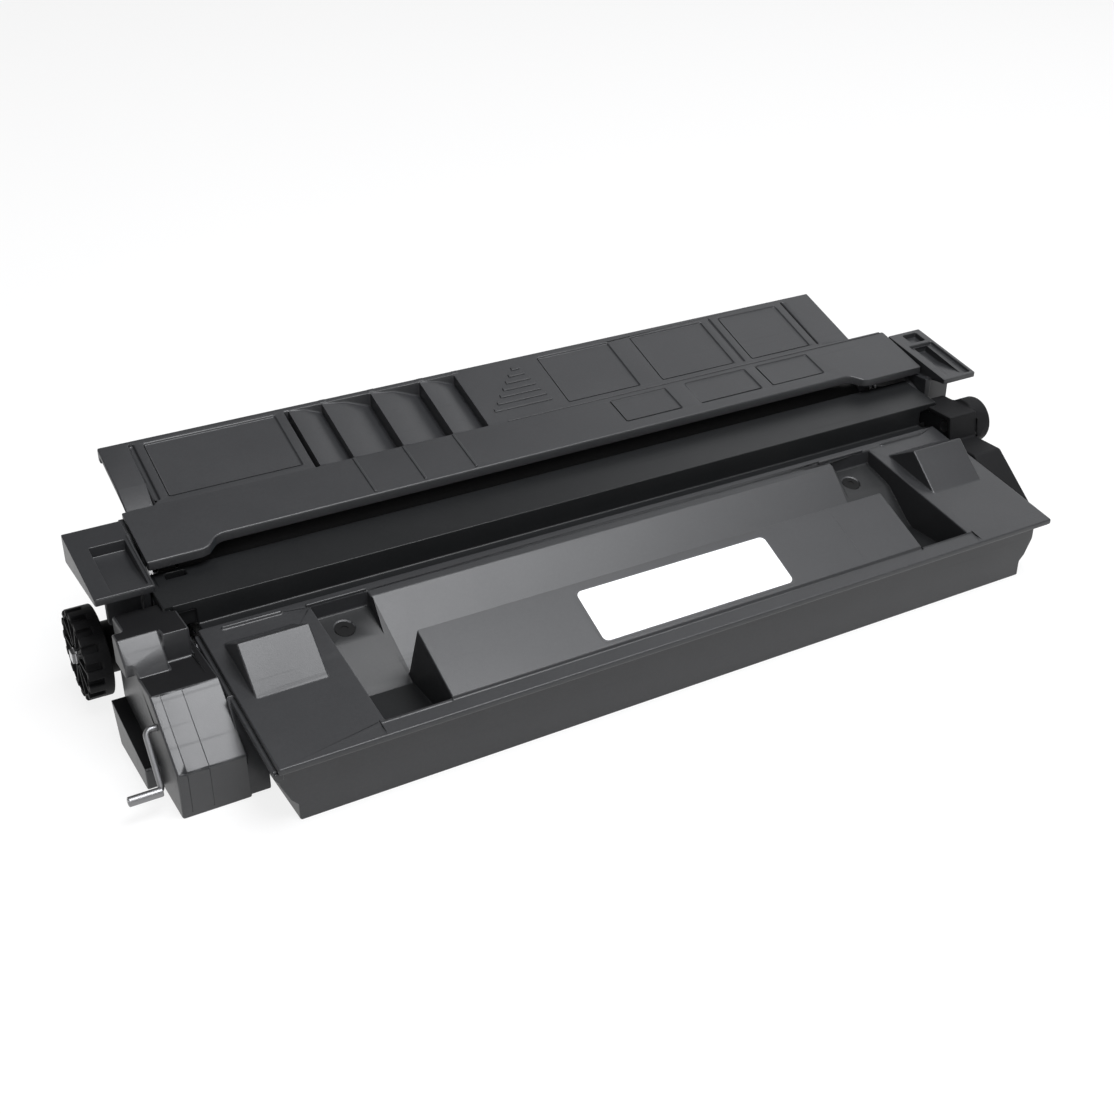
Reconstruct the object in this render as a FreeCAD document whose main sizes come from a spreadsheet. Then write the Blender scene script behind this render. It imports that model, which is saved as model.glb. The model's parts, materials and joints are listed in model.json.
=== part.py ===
import FreeCAD
import Part
import Sketcher
import math
import os
import sys

# Toner cartridge of a wide-format laser printer: a hopper and developer unit in front,
# a drum and waste bin unit behind, guide ears and hubs on both ends.
# Millimetres. X runs along the cartridge, +X is the geared end.
# Y runs from the hopper lip (-) to the waste bin (+). Z is up, and Z = 0 is the table.
# The origin is on the table, midway between the two guide ears.

doc = FreeCAD.newDocument("TonerCartridge")
sheet = doc.addObject("Spreadsheet::Sheet", "Dims")

# Driving dimensions, one row each: alias, value, meaning.
DRIVING = [
    ("box_half", 158.0, "half length of the hopper box, from which the ends are stepped out"),
    ("pin_tip", 6.0, "stub of the drum pins beyond the hubs"),
    ("depth_half", 77.2, "half of the overall depth, front lip to back edge"),
    ("ear_reach", 17.8, "guide ears beyond the side covers"),
    ("ear_width", 20.8, "width of the left guide ear"),
    ("right_ear_width", 18.0, "width of the right guide ear"),
    ("ear_front_y", 4.0, "front edge of the ears"),
    ("ear_length", 38.0, "length of the ears"),
    ("ear_top_z", 55.0, "top of the ears at their front"),
    ("ear_slope", 11.3, "slope of the ears, degrees"),
    ("ear_back_drop", 11.0, "height of an ear at its back"),
    ("ear_front_drop", 2.2, "height of an ear at its front"),
    ("ear_recess_depth", 4.0, "depth of the recess in an ear"),
    ("ear_rim", 1.6, "rim beside the recess of an ear"),
    ("ear_recess_start", 2.2, "front rim of the recess"),
    ("ear_recess_length", 25.0, "length of the recess"),
    ("ear_recess_width", 12.6, "width of the left recess"),
    ("right_recess_width", 7.0, "width of the right recess"),
    ("wall", 2.2, "wall of the large mouldings"),
    ("seat_gap", 0.3, "gap between mouldings that do not touch"),
    ("run_fit", 0.05, "radial clearance of a shaft in its bore"),
    ("crease_y", 45.0, "fold between plate and bar"),
    ("crease_z", 63.8, "height of the fold"),
    ("plate_slope", 20.0, "slope of the plate, degrees"),
    ("bar_slope", 15.3, "slope of the bar, degrees"),
    ("bar_front_y", 18.1, "front lip of the bar at its ends"),
    ("bar_mid_y", 23.5, "front lip of the bar in the middle"),
    ("plate_left_over", 8.5, "left end of the plate beyond the bin"),
    ("plate_right_over", 2.0, "right end of the plate beyond the bin"),
    ("bar_left_over", 2.0, "left end of the bar beyond the plate"),
    ("bar_right_over", 19.0, "right end of the bar beyond the plate"),
    ("lip_left_inset", 20.0, "set-back part of the lip, from the left end of the bar"),
    ("lip_right_inset", 29.3, "set-back part of the lip, from the right end of the bar"),
    ("lip_run", 9.0, "length of each curved end of the set-back"),
    ("lip_drop", 3.4, "depth of the front lip of the bar"),
    ("skirt_drop", 5.0, "depth of the skirt along the back"),
    ("grip_left_x", -99.5, "left end of the finger grip"),
    ("grip_wall_1", -83.6, "first wall of the finger grip"),
    ("grip_wall_2", -62.8, "second wall of the finger grip"),
    ("grip_wall_3", -41.2, "third wall of the finger grip"),
    ("grip_right_x", -25.6, "last wall of the finger grip"),
    ("grip_fall", 15.5, "fall of each grip ramp towards its wall, degrees"),
    ("grip_bend", 0.45, "flatter first part of each grip ramp, as a share of its length"),
    ("grip_slot", 2.0, "width of the slot at the left end of the grip"),
    ("grip_slot_depth", 4.5, "depth of the slot at the left end of the grip"),
    ("grip_rim", 2.2, "rim that closes the grip at the back and in front"),
    ("grip_block", 8.0, "thickness of the cover under the grip"),
    ("grip_room", 0.8, "gap round the thick block in the waste bin"),
    ("panel_depth", 0.5, "depth of the recessed panels"),
    ("bin_left_inset", 9.5, "left end of the waste bin inside its arm"),
    ("bin_right_inset", 16.5, "right end of the waste bin inside its arm"),
    ("bin_back_gap", 3.0, "back wall of the waste bin inside the plate"),
    ("bin_front_y", 50.0, "front wall of the waste bin"),
    ("bin_foot_y", 53.5, "front of the flat underside of the bin"),
    ("bin_round", 5.0, "rounding of the lower back edge of the bin"),
    ("bin_roof_z", 47.5, "roof over the charge roller"),
    ("slot_back_y", 36.0, "back of the light slot"),
    ("mouth_low_z", 14.0, "lower edge of the bin mouth"),
    ("mouth_high_z", 26.0, "upper edge of the bin mouth"),
    ("arm_gap", 0.5, "gap between the gears and the drum frame arms"),
    ("arm_thick", 2.5, "thickness of the drum frame arms"),
    ("drum_y", 32.0, "drum axis"),
    ("drum_z", 19.5, "drum axis"),
    ("drum_r", 15.0, "drum radius"),
    ("drum_wall", 0.8, "wall of the drum tube"),
    ("drum_over", 5.0, "drum tube beyond the hopper box"),
    ("flange_gap", 0.4, "drum flange short of the gear plane"),
    ("flange_plug", 8.0, "depth of the flange plug in the tube"),
    ("drum_pin_r", 4.0, "radius of the drum pins"),
    ("cap_gap", 1.5, "gap from the hopper cover to the end caps and the gears"),
    ("gear_width", 5.0, "face width of the gears"),
    ("gear_module", 1.0, "module of the gear train"),
    ("drum_teeth", 31.0, "teeth of the drum gear"),
    ("sleeve_teeth", 20.0, "teeth of the sleeve gear"),
    ("idler_teeth", 12.0, "teeth of the idler gear"),
    ("agitator_teeth", 20.0, "teeth of the agitator gear"),
    ("gear_backlash", 0.24, "gap between flanks at the pitch circle"),
    ("sleeve_angle", 10.0, "angle of the sleeve above the drum axis, degrees"),
    ("idler_angle", 3.7, "angle of the idler above the sleeve axis, degrees"),
    ("agitator_angle", 46.2, "angle of the agitator below the idler, degrees"),
    ("sleeve_gap", 0.3, "developing gap between drum and sleeve"),
    ("sleeve_inset", 12.9, "end of the sleeve inside the developer chamber"),
    ("collar_width", 4.0, "width of the spacer collars"),
    ("sleeve_wall", 1.0, "wall of the sleeve"),
    ("sleeve_journal_r", 5.0, "journal of the sleeve"),
    ("magnet_gap", 0.7, "gap between magnet and sleeve"),
    ("magnet_shaft_r", 2.5, "shaft of the magnet"),
    ("charge_angle", 65.0, "angle of the charge roller on the drum, degrees"),
    ("charge_r", 6.0, "charge roller radius"),
    ("charge_shaft_r", 3.0, "charge roller shaft"),
    ("charge_inset", 5.0, "end of the charge rubber inside the drum"),
    ("charge_gap", 0.2, "gap between the charge roller and the drum"),
    ("saddle_width", 6.0, "length of a saddle along the shaft"),
    ("hub_r", 16.8, "radius of the positioning hubs"),
    ("hub_over", 4.0, "hubs beyond the guide ears"),
    ("hub_disc", 9.0, "thickness of the hub disc"),
    ("hub_neck_r", 9.5, "neck of the hubs"),
    ("cover_thick", 3.2, "thickness of the side covers"),
    ("hopper_over", 7.5, "hopper cover beyond its box"),
    ("hopper_lip_z", 26.6, "top of the hopper cover at its lip"),
    ("hopper_slope", 10.2, "slope of the hopper cover, degrees"),
    ("hopper_back_y", -5.4, "back edge of the hopper cover"),
    ("box_front_gap", 6.2, "front face of the hopper box behind the lip"),
    ("box_back_foot_y", -12.0, "back of the flat underside of the hopper"),
    ("trough_inset", 39.5, "end of the finger trough inside the hopper cover"),
    ("trough_back_y", -9.4, "back edge of the trough"),
    ("trough_front_gap", 6.7, "front edge of the trough behind the lip"),
    ("slope_top_y", -12.8, "top of the sloping trough floor"),
    ("slope_angle", 40.0, "slope of the trough floor, degrees"),
    ("pocket_width", 21.5, "width of each finger pocket"),
    ("valley_y", -36.4, "valley in front of the sloping floor"),
    ("valley_z", 16.4, "floor of the finger pockets"),
    ("shelf_z", 33.0, "shelf at the back of the finger pockets"),
    ("shelf_slope", 15.0, "slope of the shelf, degrees"),
    ("wedge_inset", 2.5, "end of the grip wedge inside the sloping floor"),
    ("wedge_top_y", -45.0, "ridge of the wedge"),
    ("wedge_top_z", 40.6, "ridge of the wedge"),
    ("wedge_step", 1.0, "step in front of the wedge"),
    ("ramp_inset", 19.7, "middle of each ramp inside the hopper cover"),
    ("ramp_shift", -1.4, "how far both ramps sit to the left"),
    ("ramp_half", 12.9, "half length of a ramp"),
    ("ramp_back_y", -15.6, "back foot of the ramps"),
    ("ramp_top_y", -30.0, "ridge of the ramps"),
    ("ramp_rise", 10.6, "height of the ramps above the cover"),
    ("ramp_front_y", -44.6, "front foot of the ramps"),
    ("rib_y", -8.4, "short rib behind each ramp"),
    ("rib_height", 1.0, "height of that rib"),
    ("label_half", 41.3, "half length of the label"),
    ("label_back", 5.0, "label to the ridge, along the slope"),
    ("label_depth", 22.6, "label across the slope"),
    ("label_thick", 0.2, "thickness of the label"),
    ("strip_front_y", 1.0, "front edge of the developer strip"),
    ("strip_z", 47.0, "height of the strip at its front"),
    ("strip_back_y", 22.0, "back edge of the strip"),
    ("strip_slope", 7.4, "slope of the strip, degrees"),
    ("strip_over", 4.8, "developer strip beyond the end caps"),
    ("chamber_over", 5.4, "developer chamber beyond the hopper box"),
    ("chamber_low_z", 6.2, "underside of the developer chamber"),
    ("chamber_lip_y", 11.6, "lip of the chamber under the sleeve"),
    ("lug_width", 23.7, "width of the left lug"),
    ("gear_room", 10.0, "right end cap beyond the gears"),
    ("cap_wall", 2.0, "wall of the end caps"),
    ("lug_top_z", 35.0, "top of the lugs"),
    ("lug_top_y", -29.8, "top edge of the sloping lug face"),
    ("lug_low_z", 17.0, "foot of the sloping lug face"),
    ("lug_front_y", -51.8, "front face of the lugs"),
    ("cap_back_y", 7.0, "back edge of the end caps"),
    ("cap_top_z", 46.0, "top of the left end cap"),
    ("cap_step_y", -16.0, "foot of the small sloping facet"),
    ("dome_width", 11.0, "raised part of the left end cap, from its outer face"),
    ("flange_over", 5.1, "outer flange of the left end cap beyond its lug"),
    ("pivot_y", -34.0, "shutter pivot"),
    ("pivot_z", 25.6, "shutter pivot"),
    ("wire_r", 1.1, "shutter wire radius"),
    ("wire_inset", 1.2, "outer run of the shutter wire inside the flange"),
    ("wire_gap", 2.2, "inner run of the shutter wire inside the end caps"),
    ("pin_y", -46.0, "pin of the shutter wire"),
    ("pin_z", 9.3, "pin of the shutter wire"),
    ("shutter_gap", 1.8, "gap between drum and shutter"),
    ("shutter_thick", 1.2, "thickness of the shutter"),
    ("shutter_inset", 3.0, "end of the shutter inside the drum"),
    ("shutter_front", 35.0, "front edge of the shutter below level, degrees"),
    ("shutter_seam", 83.0, "seam of the two shutter panels below level, degrees"),
    ("shutter_lug", 42.0, "wire lugs of the shutter below level, degrees"),
    ("shutter_back", 49.0, "back edge of the shutter below level, degrees"),
    ("boss_y", -5.0, "pivot pin of the two halves"),
    ("boss_z", 37.5, "pivot pin of the two halves"),
    ("boss_r", 10.0, "boss of the pivot pin"),
    ("boss_length", 8.0, "length of the pivot boss on the right end cap"),
    ("pin_r", 2.5, "radius of the pivot pins"),
    ("screw_head_r", 3.0, "head of the small screws"),
    ("screw_r", 1.3, "shank of the small screws"),
]


# A driving or worked-out size: its number, and the text that binds a property to it.
class Size:
    def __init__(self, value, text):
        self.value = float(value)
        self.text = text

    def __add__(self, other):
        other = as_size(other)
        return Size(self.value + other.value, f"({self.text} + {other.text})")

    def __radd__(self, other):
        return as_size(other) + self

    def __sub__(self, other):
        other = as_size(other)
        return Size(self.value - other.value, f"({self.text} - {other.text})")

    def __rsub__(self, other):
        return as_size(other) - self

    def __mul__(self, other):
        other = as_size(other)
        return Size(self.value * other.value, f"({self.text} * {other.text})")

    def __rmul__(self, other):
        return as_size(other) * self

    def __truediv__(self, other):
        other = as_size(other)
        return Size(self.value / other.value, f"({self.text} / {other.text})")

    def __neg__(self):
        return Size(-self.value, f"(0 - {self.text})")


def as_size(number):
    if isinstance(number, Size):
        return number
    return Size(number, repr(float(number)))


def tan_of(angle):
    return Size(math.tan(math.radians(angle.value)), f"tan({angle.text})")


def sin_of(angle):
    return Size(math.sin(math.radians(angle.value)), f"sin({angle.text})")


def cos_of(angle):
    return Size(math.cos(math.radians(angle.value)), f"cos({angle.text})")


def root_of(number):
    return Size(math.sqrt(number.value), f"sqrt({number.text})")


class Named:
    pass


d = Named()
for row, (alias, number, meaning) in enumerate(DRIVING, start=1):
    sheet.set(f"A{row}", alias)
    sheet.set(f"B{row}", str(number))
    sheet.set(f"C{row}", meaning)
    sheet.setAlias(f"B{row}", alias)
    setattr(d, alias, Size(number, f"Dims.{alias}"))
d.plate_back_y = d.depth_half
d.hopper_lip_y = -d.depth_half
d.bin_back_y = d.depth_half - d.bin_back_gap
d.box_front_y = d.box_front_gap - d.depth_half
d.trough_front_y = d.trough_front_gap - d.depth_half
# along the length, each piece steps out from the one that carries it
d.hopper_half = d.box_half + d.hopper_over
d.chamber_half = d.box_half + d.chamber_over
d.drum_half = d.box_half + d.drum_over
d.charge_half = d.drum_half - d.charge_inset
d.sleeve_half = d.chamber_half - d.sleeve_inset
d.shutter_half = d.drum_half - d.shutter_inset
d.cap_inner_x = d.hopper_half + d.cap_gap
d.gear_x = d.cap_inner_x
d.flange_x = d.gear_x - d.flange_gap
d.arm_x = d.gear_x + d.gear_width + d.arm_gap
d.cover_x = d.arm_x + d.arm_thick
d.cover_out_x = d.cover_x + d.cover_thick
d.strip_half = d.cap_inner_x + d.strip_over
d.right_cap_x = d.gear_x + d.gear_width + d.gear_room
d.boss_x = d.right_cap_x + d.boss_length
d.lug_outer_x = d.cap_inner_x + d.lug_width
d.plate_out_x = d.lug_outer_x + d.flange_over
d.wire_out_x = d.plate_out_x - d.wire_inset
d.wire_in_x = d.cap_inner_x - d.wire_gap
d.ear_half = d.cover_out_x + d.ear_reach
d.hub_outer_x = d.ear_half + d.hub_over
d.overall_half = d.hub_outer_x + d.pin_tip
d.trough_half = d.hopper_half - d.trough_inset
d.slope_half = d.trough_half - d.pocket_width
d.wedge_half = d.slope_half - d.wedge_inset
d.ramp_mid_x = d.hopper_half - d.ramp_inset
d.bin_left_x = d.bin_left_inset - d.arm_x
d.bin_right_x = d.arm_x - d.bin_right_inset
d.plate_left_x = d.bin_left_x - d.plate_left_over
d.plate_right_x = d.bin_right_x + d.plate_right_over
d.bar_left_x = d.plate_left_x - d.bar_left_over
d.bar_right_x = d.plate_right_x + d.bar_right_over
d.lip_left_x = d.bar_left_x + d.lip_left_inset
d.lip_right_x = d.bar_right_x - d.lip_right_inset
doc.recompute()


# Worked-out places that several pieces share.
def plate_top(y):
    return d.crease_z + (y - d.crease_y) * tan_of(d.plate_slope)


def bar_top(y):
    return d.crease_z + (y - d.crease_y) * tan_of(d.bar_slope)


def hopper_top(y):
    return d.hopper_lip_z + (y - d.hopper_lip_y) * tan_of(d.hopper_slope)


def strip_top(y):
    return d.strip_z + (y - d.strip_front_y) * tan_of(d.strip_slope)


def ear_top(y):
    return d.ear_top_z + (y - d.ear_front_y) * tan_of(d.ear_slope)


def pitch_r(teeth):
    return d.gear_module * teeth / 2


sleeve_reach = pitch_r(d.drum_teeth) + pitch_r(d.sleeve_teeth)
sleeve_y = d.drum_y - sleeve_reach * cos_of(d.sleeve_angle)
sleeve_z = d.drum_z + sleeve_reach * sin_of(d.sleeve_angle)
sleeve_r = sleeve_reach - d.drum_r - d.sleeve_gap
idler_reach = pitch_r(d.sleeve_teeth) + pitch_r(d.idler_teeth)
idler_y = sleeve_y - idler_reach * cos_of(d.idler_angle)
idler_z = sleeve_z + idler_reach * sin_of(d.idler_angle)
agitator_reach = pitch_r(d.idler_teeth) + pitch_r(d.agitator_teeth)
agitator_y = idler_y - agitator_reach * cos_of(d.agitator_angle)
agitator_z = idler_z - agitator_reach * sin_of(d.agitator_angle)
charge_reach = d.drum_r + d.charge_r + d.charge_gap
charge_y = d.drum_y + charge_reach * cos_of(d.charge_angle)
charge_z = d.drum_z + charge_reach * sin_of(d.charge_angle)
valley_drop = (d.slope_top_y - d.valley_y) * tan_of(d.slope_angle)
slope_foot_z = hopper_top(d.slope_top_y) - valley_drop
wedge_slope = (d.wedge_top_z - hopper_top(d.trough_front_y) - d.wedge_step) / (
    d.wedge_top_y - d.trough_front_y)

notch_z = d.valley_z + 4.6
tongue_r = d.pin_r + 3
pin_wall_x = d.arm_x - d.seat_gap
cover_screw_y = d.drum_y + 10
cover_screw_z = d.drum_z + 20
wiper_low_x = d.bin_left_x + 8
wiper_high_x = d.bin_right_x - 3
wiper_screw_z = d.mouth_high_z + 15.5
doctor_face_y = d.strip_front_y + d.wall
doctor_top_z = strip_top(doctor_face_y) - 3.2


def wiper_screw_x(index):
    return wiper_low_x + (wiper_high_x - wiper_low_x) * (index + 0.5) / 3


def doctor_screw_x(index):
    return d.sleeve_half * (index * 1.5 - 0.75)


subparts = {}


def bind(thing, prop, size):
    thing.setExpression(prop, as_size(size).text)


# Makes a closed sketch on one origin plane of a body, every corner bound to the sheet.
# Corners are pairs of sizes, in the plane's own two directions.
def sketch_on(body, role, corners, offset, name):
    sketch = body.newObject("Sketcher::SketchObject", name)
    plane = [f for f in body.Origin.OriginFeatures if f.Role == role][0]
    sketch.AttachmentSupport = [(plane, "")]
    sketch.MapMode = "FlatFace"
    bind(sketch, "AttachmentOffset.Base.z", offset)
    add_loop(sketch, corners)
    return sketch


def add_loop(sketch, corners):
    corners = [(as_size(u), as_size(v)) for u, v in corners]
    first = sketch.GeometryCount
    count = len(corners)
    points = [FreeCAD.Vector(u.value, v.value, 0) for u, v in corners]
    for index in range(count):
        line = Part.LineSegment(points[index], points[(index + 1) % count])
        sketch.addGeometry(line, False)
    for index in range(count):
        here = first + index
        after = first + (index + 1) % count
        sketch.addConstraint(Sketcher.Constraint("Coincident", here, 2, after, 1))
    for index, (u, v) in enumerate(corners):
        for kind, size in (("DistanceX", u), ("DistanceY", v)):
            rule = Sketcher.Constraint(kind, -1, 1, first + index, 1, size.value)
            number = sketch.addConstraint(rule)
            bind(sketch, f"Constraints[{number}]", size)


def new_body(label):
    body = doc.addObject("PartDesign::Body", label)
    body.Label = label
    subparts[label] = body
    return body


def count_features(body):
    return len(body.Group)


# Adds a prism along X with a (Y, Z) outline, from x_from to x_to.
def pad_x(body, corners, x_from, x_to, hole=None):
    number = count_features(body)
    sketch = sketch_on(body, "YZ_Plane", corners, x_from, f"{body.Name}_outline{number}")
    if hole:
        add_loop(sketch, hole)
    pad = body.newObject("PartDesign::Pad", f"{body.Name}_pad{number}")
    pad.Profile = sketch
    bind(pad, "Length", as_size(x_to) - x_from)
    return pad


# Cuts a prism along X with a (Y, Z) outline, from x_from to x_to.
def cut_x(body, corners, x_from, x_to):
    number = count_features(body)
    sketch = sketch_on(body, "YZ_Plane", corners, x_from, f"{body.Name}_outline{number}")
    pocket = body.newObject("PartDesign::Pocket", f"{body.Name}_cut{number}")
    pocket.Profile = sketch
    pocket.Reversed = True
    bind(pocket, "Length", as_size(x_to) - x_from)
    return pocket


# Cuts a prism along Z with an (X, Y) outline, from z_from up to z_to.
def cut_z(body, corners, z_from, z_to):
    number = count_features(body)
    sketch = sketch_on(body, "XY_Plane", corners, z_from, f"{body.Name}_outline{number}")
    pocket = body.newObject("PartDesign::Pocket", f"{body.Name}_cut{number}")
    pocket.Profile = sketch
    pocket.Reversed = True
    bind(pocket, "Length", as_size(z_to) - z_from)
    return pocket


def rectangle(u0, u1, v0, v1):
    return [(u0, v0), (u1, v0), (u1, v1), (u0, v1)]


def cylinder_x(name, radius, x_from, x_to, y, z):
    rod = doc.addObject("Part::Cylinder", name)
    bind(rod, "Radius", radius)
    bind(rod, "Height", as_size(x_to) - x_from)
    rod.Placement = FreeCAD.Placement(
        FreeCAD.Vector(0, 0, 0), FreeCAD.Rotation(FreeCAD.Vector(0, 1, 0), 90))
    bind(rod, "Placement.Base.x", x_from)
    bind(rod, "Placement.Base.y", y)
    bind(rod, "Placement.Base.z", z)
    return rod


def box_at(name, x_pair, y_pair, z_pair):
    block = doc.addObject("Part::Box", name)
    for axis, prop, (low, high) in (("x", "Length", x_pair), ("y", "Width", y_pair), ("z", "Height", z_pair)):
        bind(block, prop, as_size(high) - low)
        bind(block, f"Placement.Base.{axis}", low)
    return block


def fused(label, shapes):
    joined = doc.addObject("Part::MultiFuse", label)
    joined.Shapes = shapes
    joined.Refine = True
    return joined


def cut(label, base, tool):
    result = doc.addObject("Part::Cut", label)
    result.Base = base
    result.Tool = tool
    return result


def keep(label, thing):
    thing.Label = label
    subparts[label] = thing
    return thing


def group(label, things):
    joined = doc.addObject("Part::Compound", label)
    joined.Links = things
    return keep(label, joined)


# A piece whose shape no feature makes, such as a bent wire or a gear.
def made_shape(label, shape, kept=True):
    thing = doc.addObject("Part::Feature", label)
    thing.Shape = shape
    if kept:
        keep(label, thing)
    return thing


# Waste bin: the moulded frame of the drum unit
def make_waste_bin():
    body = new_body("waste_bin")
    under = d.wall / cos_of(d.plate_slope)
    top_back = plate_top(d.bin_back_y) - under
    top_fold = d.crease_z - d.wall / cos_of(d.bar_slope)
    top_front = bar_top(d.slot_back_y) - d.wall / cos_of(d.bar_slope)
    outer = [
        (d.bin_back_y, top_back),
        (d.crease_y, top_fold),
        (d.slot_back_y, top_front),
        (d.slot_back_y, d.bin_roof_z),
        (d.bin_front_y, d.bin_roof_z),
        (d.bin_front_y, d.mouth_low_z - 2),
        (d.bin_foot_y, 0),
        (d.bin_back_y - d.bin_round, 0),
        (d.bin_back_y, d.bin_round),
    ]
    inner = [
        (d.bin_back_y - d.wall, top_back - d.wall),
        (d.crease_y, top_fold - d.wall),
        (d.slot_back_y + d.wall, top_front - d.wall),
        (d.slot_back_y + d.wall, d.bin_roof_z + d.wall),
        (d.bin_front_y + d.wall, d.bin_roof_z + d.wall),
        (d.bin_front_y + d.wall, d.mouth_low_z - 2),
        (d.bin_foot_y + d.wall, d.wall),
        (d.bin_back_y - d.bin_round - d.wall / 2, d.wall),
        (d.bin_back_y - d.wall, d.bin_round + d.wall / 2),
    ]
    pad_x(body, outer, d.bin_left_x, d.bin_right_x, hole=inner)
    pad_x(body, outer, d.bin_left_x, d.bin_left_x + d.wall)
    pad_x(body, outer, d.bin_right_x - d.wall, d.bin_right_x)
    # rail under the bar, from arm to arm
    rail = [
        (d.slot_back_y, top_front),
        (d.crease_y, top_fold),
        (d.crease_y, d.bin_roof_z + d.wall),
        (d.slot_back_y, d.bin_roof_z + d.wall),
    ]
    arm_end = d.arm_x + d.arm_thick
    pad_x(body, rail, -arm_end, d.bin_left_x + d.wall)
    pad_x(body, rail, d.bin_right_x - d.wall, arm_end)
    # arms beside the drum, each with a tongue for the pivot pin of the halves
    tongue = tongue_r
    arm = [
        (d.crease_y, top_fold),
        (d.slot_back_y, top_front),
        (d.slot_back_y - 16, d.bin_roof_z + 1),
        (d.cap_back_y + 1.5, d.boss_z + tongue),
        (d.boss_y, d.boss_z + tongue),
        (d.boss_y - tongue, d.boss_z),
        (d.boss_y, d.boss_z - tongue),
        (d.boss_y + 12, d.boss_z - tongue),
        (d.drum_y - 14, d.drum_z - 6),
        (d.drum_y - 8, d.drum_z - 14),
        (d.drum_y + 8, d.drum_z - 14),
        (d.bin_front_y + 4, d.drum_z - 8),
        (d.bin_front_y + 4, d.bin_roof_z),
    ]
    for side in (-1, 1):
        low = d.arm_x if side > 0 else -arm_end
        pad_x(body, arm, low, low + d.arm_thick)
    # mouth through which the wiper drops spent toner
    cut_x(body, rectangle(d.bin_front_y - 1, d.bin_front_y + d.wall + 1, d.mouth_low_z, d.mouth_high_z),
          d.bin_left_x + 8, d.bin_right_x - 8)
    # room for the thick block under the finger grip
    room_y = d.crease_y - d.grip_rim - d.grip_room
    floor = d.grip_block + d.grip_room
    cut_x(body, [(room_y, plate_top(room_y) - floor),
                 (d.bin_back_y + 1, plate_top(d.bin_back_y + 1) - floor),
                 (d.bin_back_y + 1, plate_top(d.bin_back_y) + 5),
                 (room_y, plate_top(d.bin_back_y) + 5)],
          d.grip_left_x - d.grip_rim - d.grip_room, d.grip_right_x + d.grip_rim + d.grip_room)
    bores = []
    for side, low in ((-1, -arm_end), (1, d.arm_x)):
        name = "left" if side < 0 else "right"
        bores.append(cylinder_x(f"arm_drum_bore_{name}", d.drum_pin_r + d.run_fit, low - 1, low + d.arm_thick + 1,
                                d.drum_y, d.drum_z))
        bores.append(cylinder_x(f"arm_pin_bore_{name}", d.pin_r, low - 1, low + d.arm_thick + 1,
                                d.boss_y, d.boss_z))
        bores.append(cylinder_x(f"arm_screw_bore_{name}", d.screw_r, low - 1, low + d.arm_thick + 1,
                                cover_screw_y, cover_screw_z))
    for index in range(3):
        bores.append(screw_hole_y(f"bin_screw_hole{index}", d.bin_front_y - 1, wiper_screw_x(index),
                                  wiper_screw_z, d.wall))
    keep("waste_bin", cut("waste_bin_bored", body, fused("arm_bores", bores)))


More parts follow.
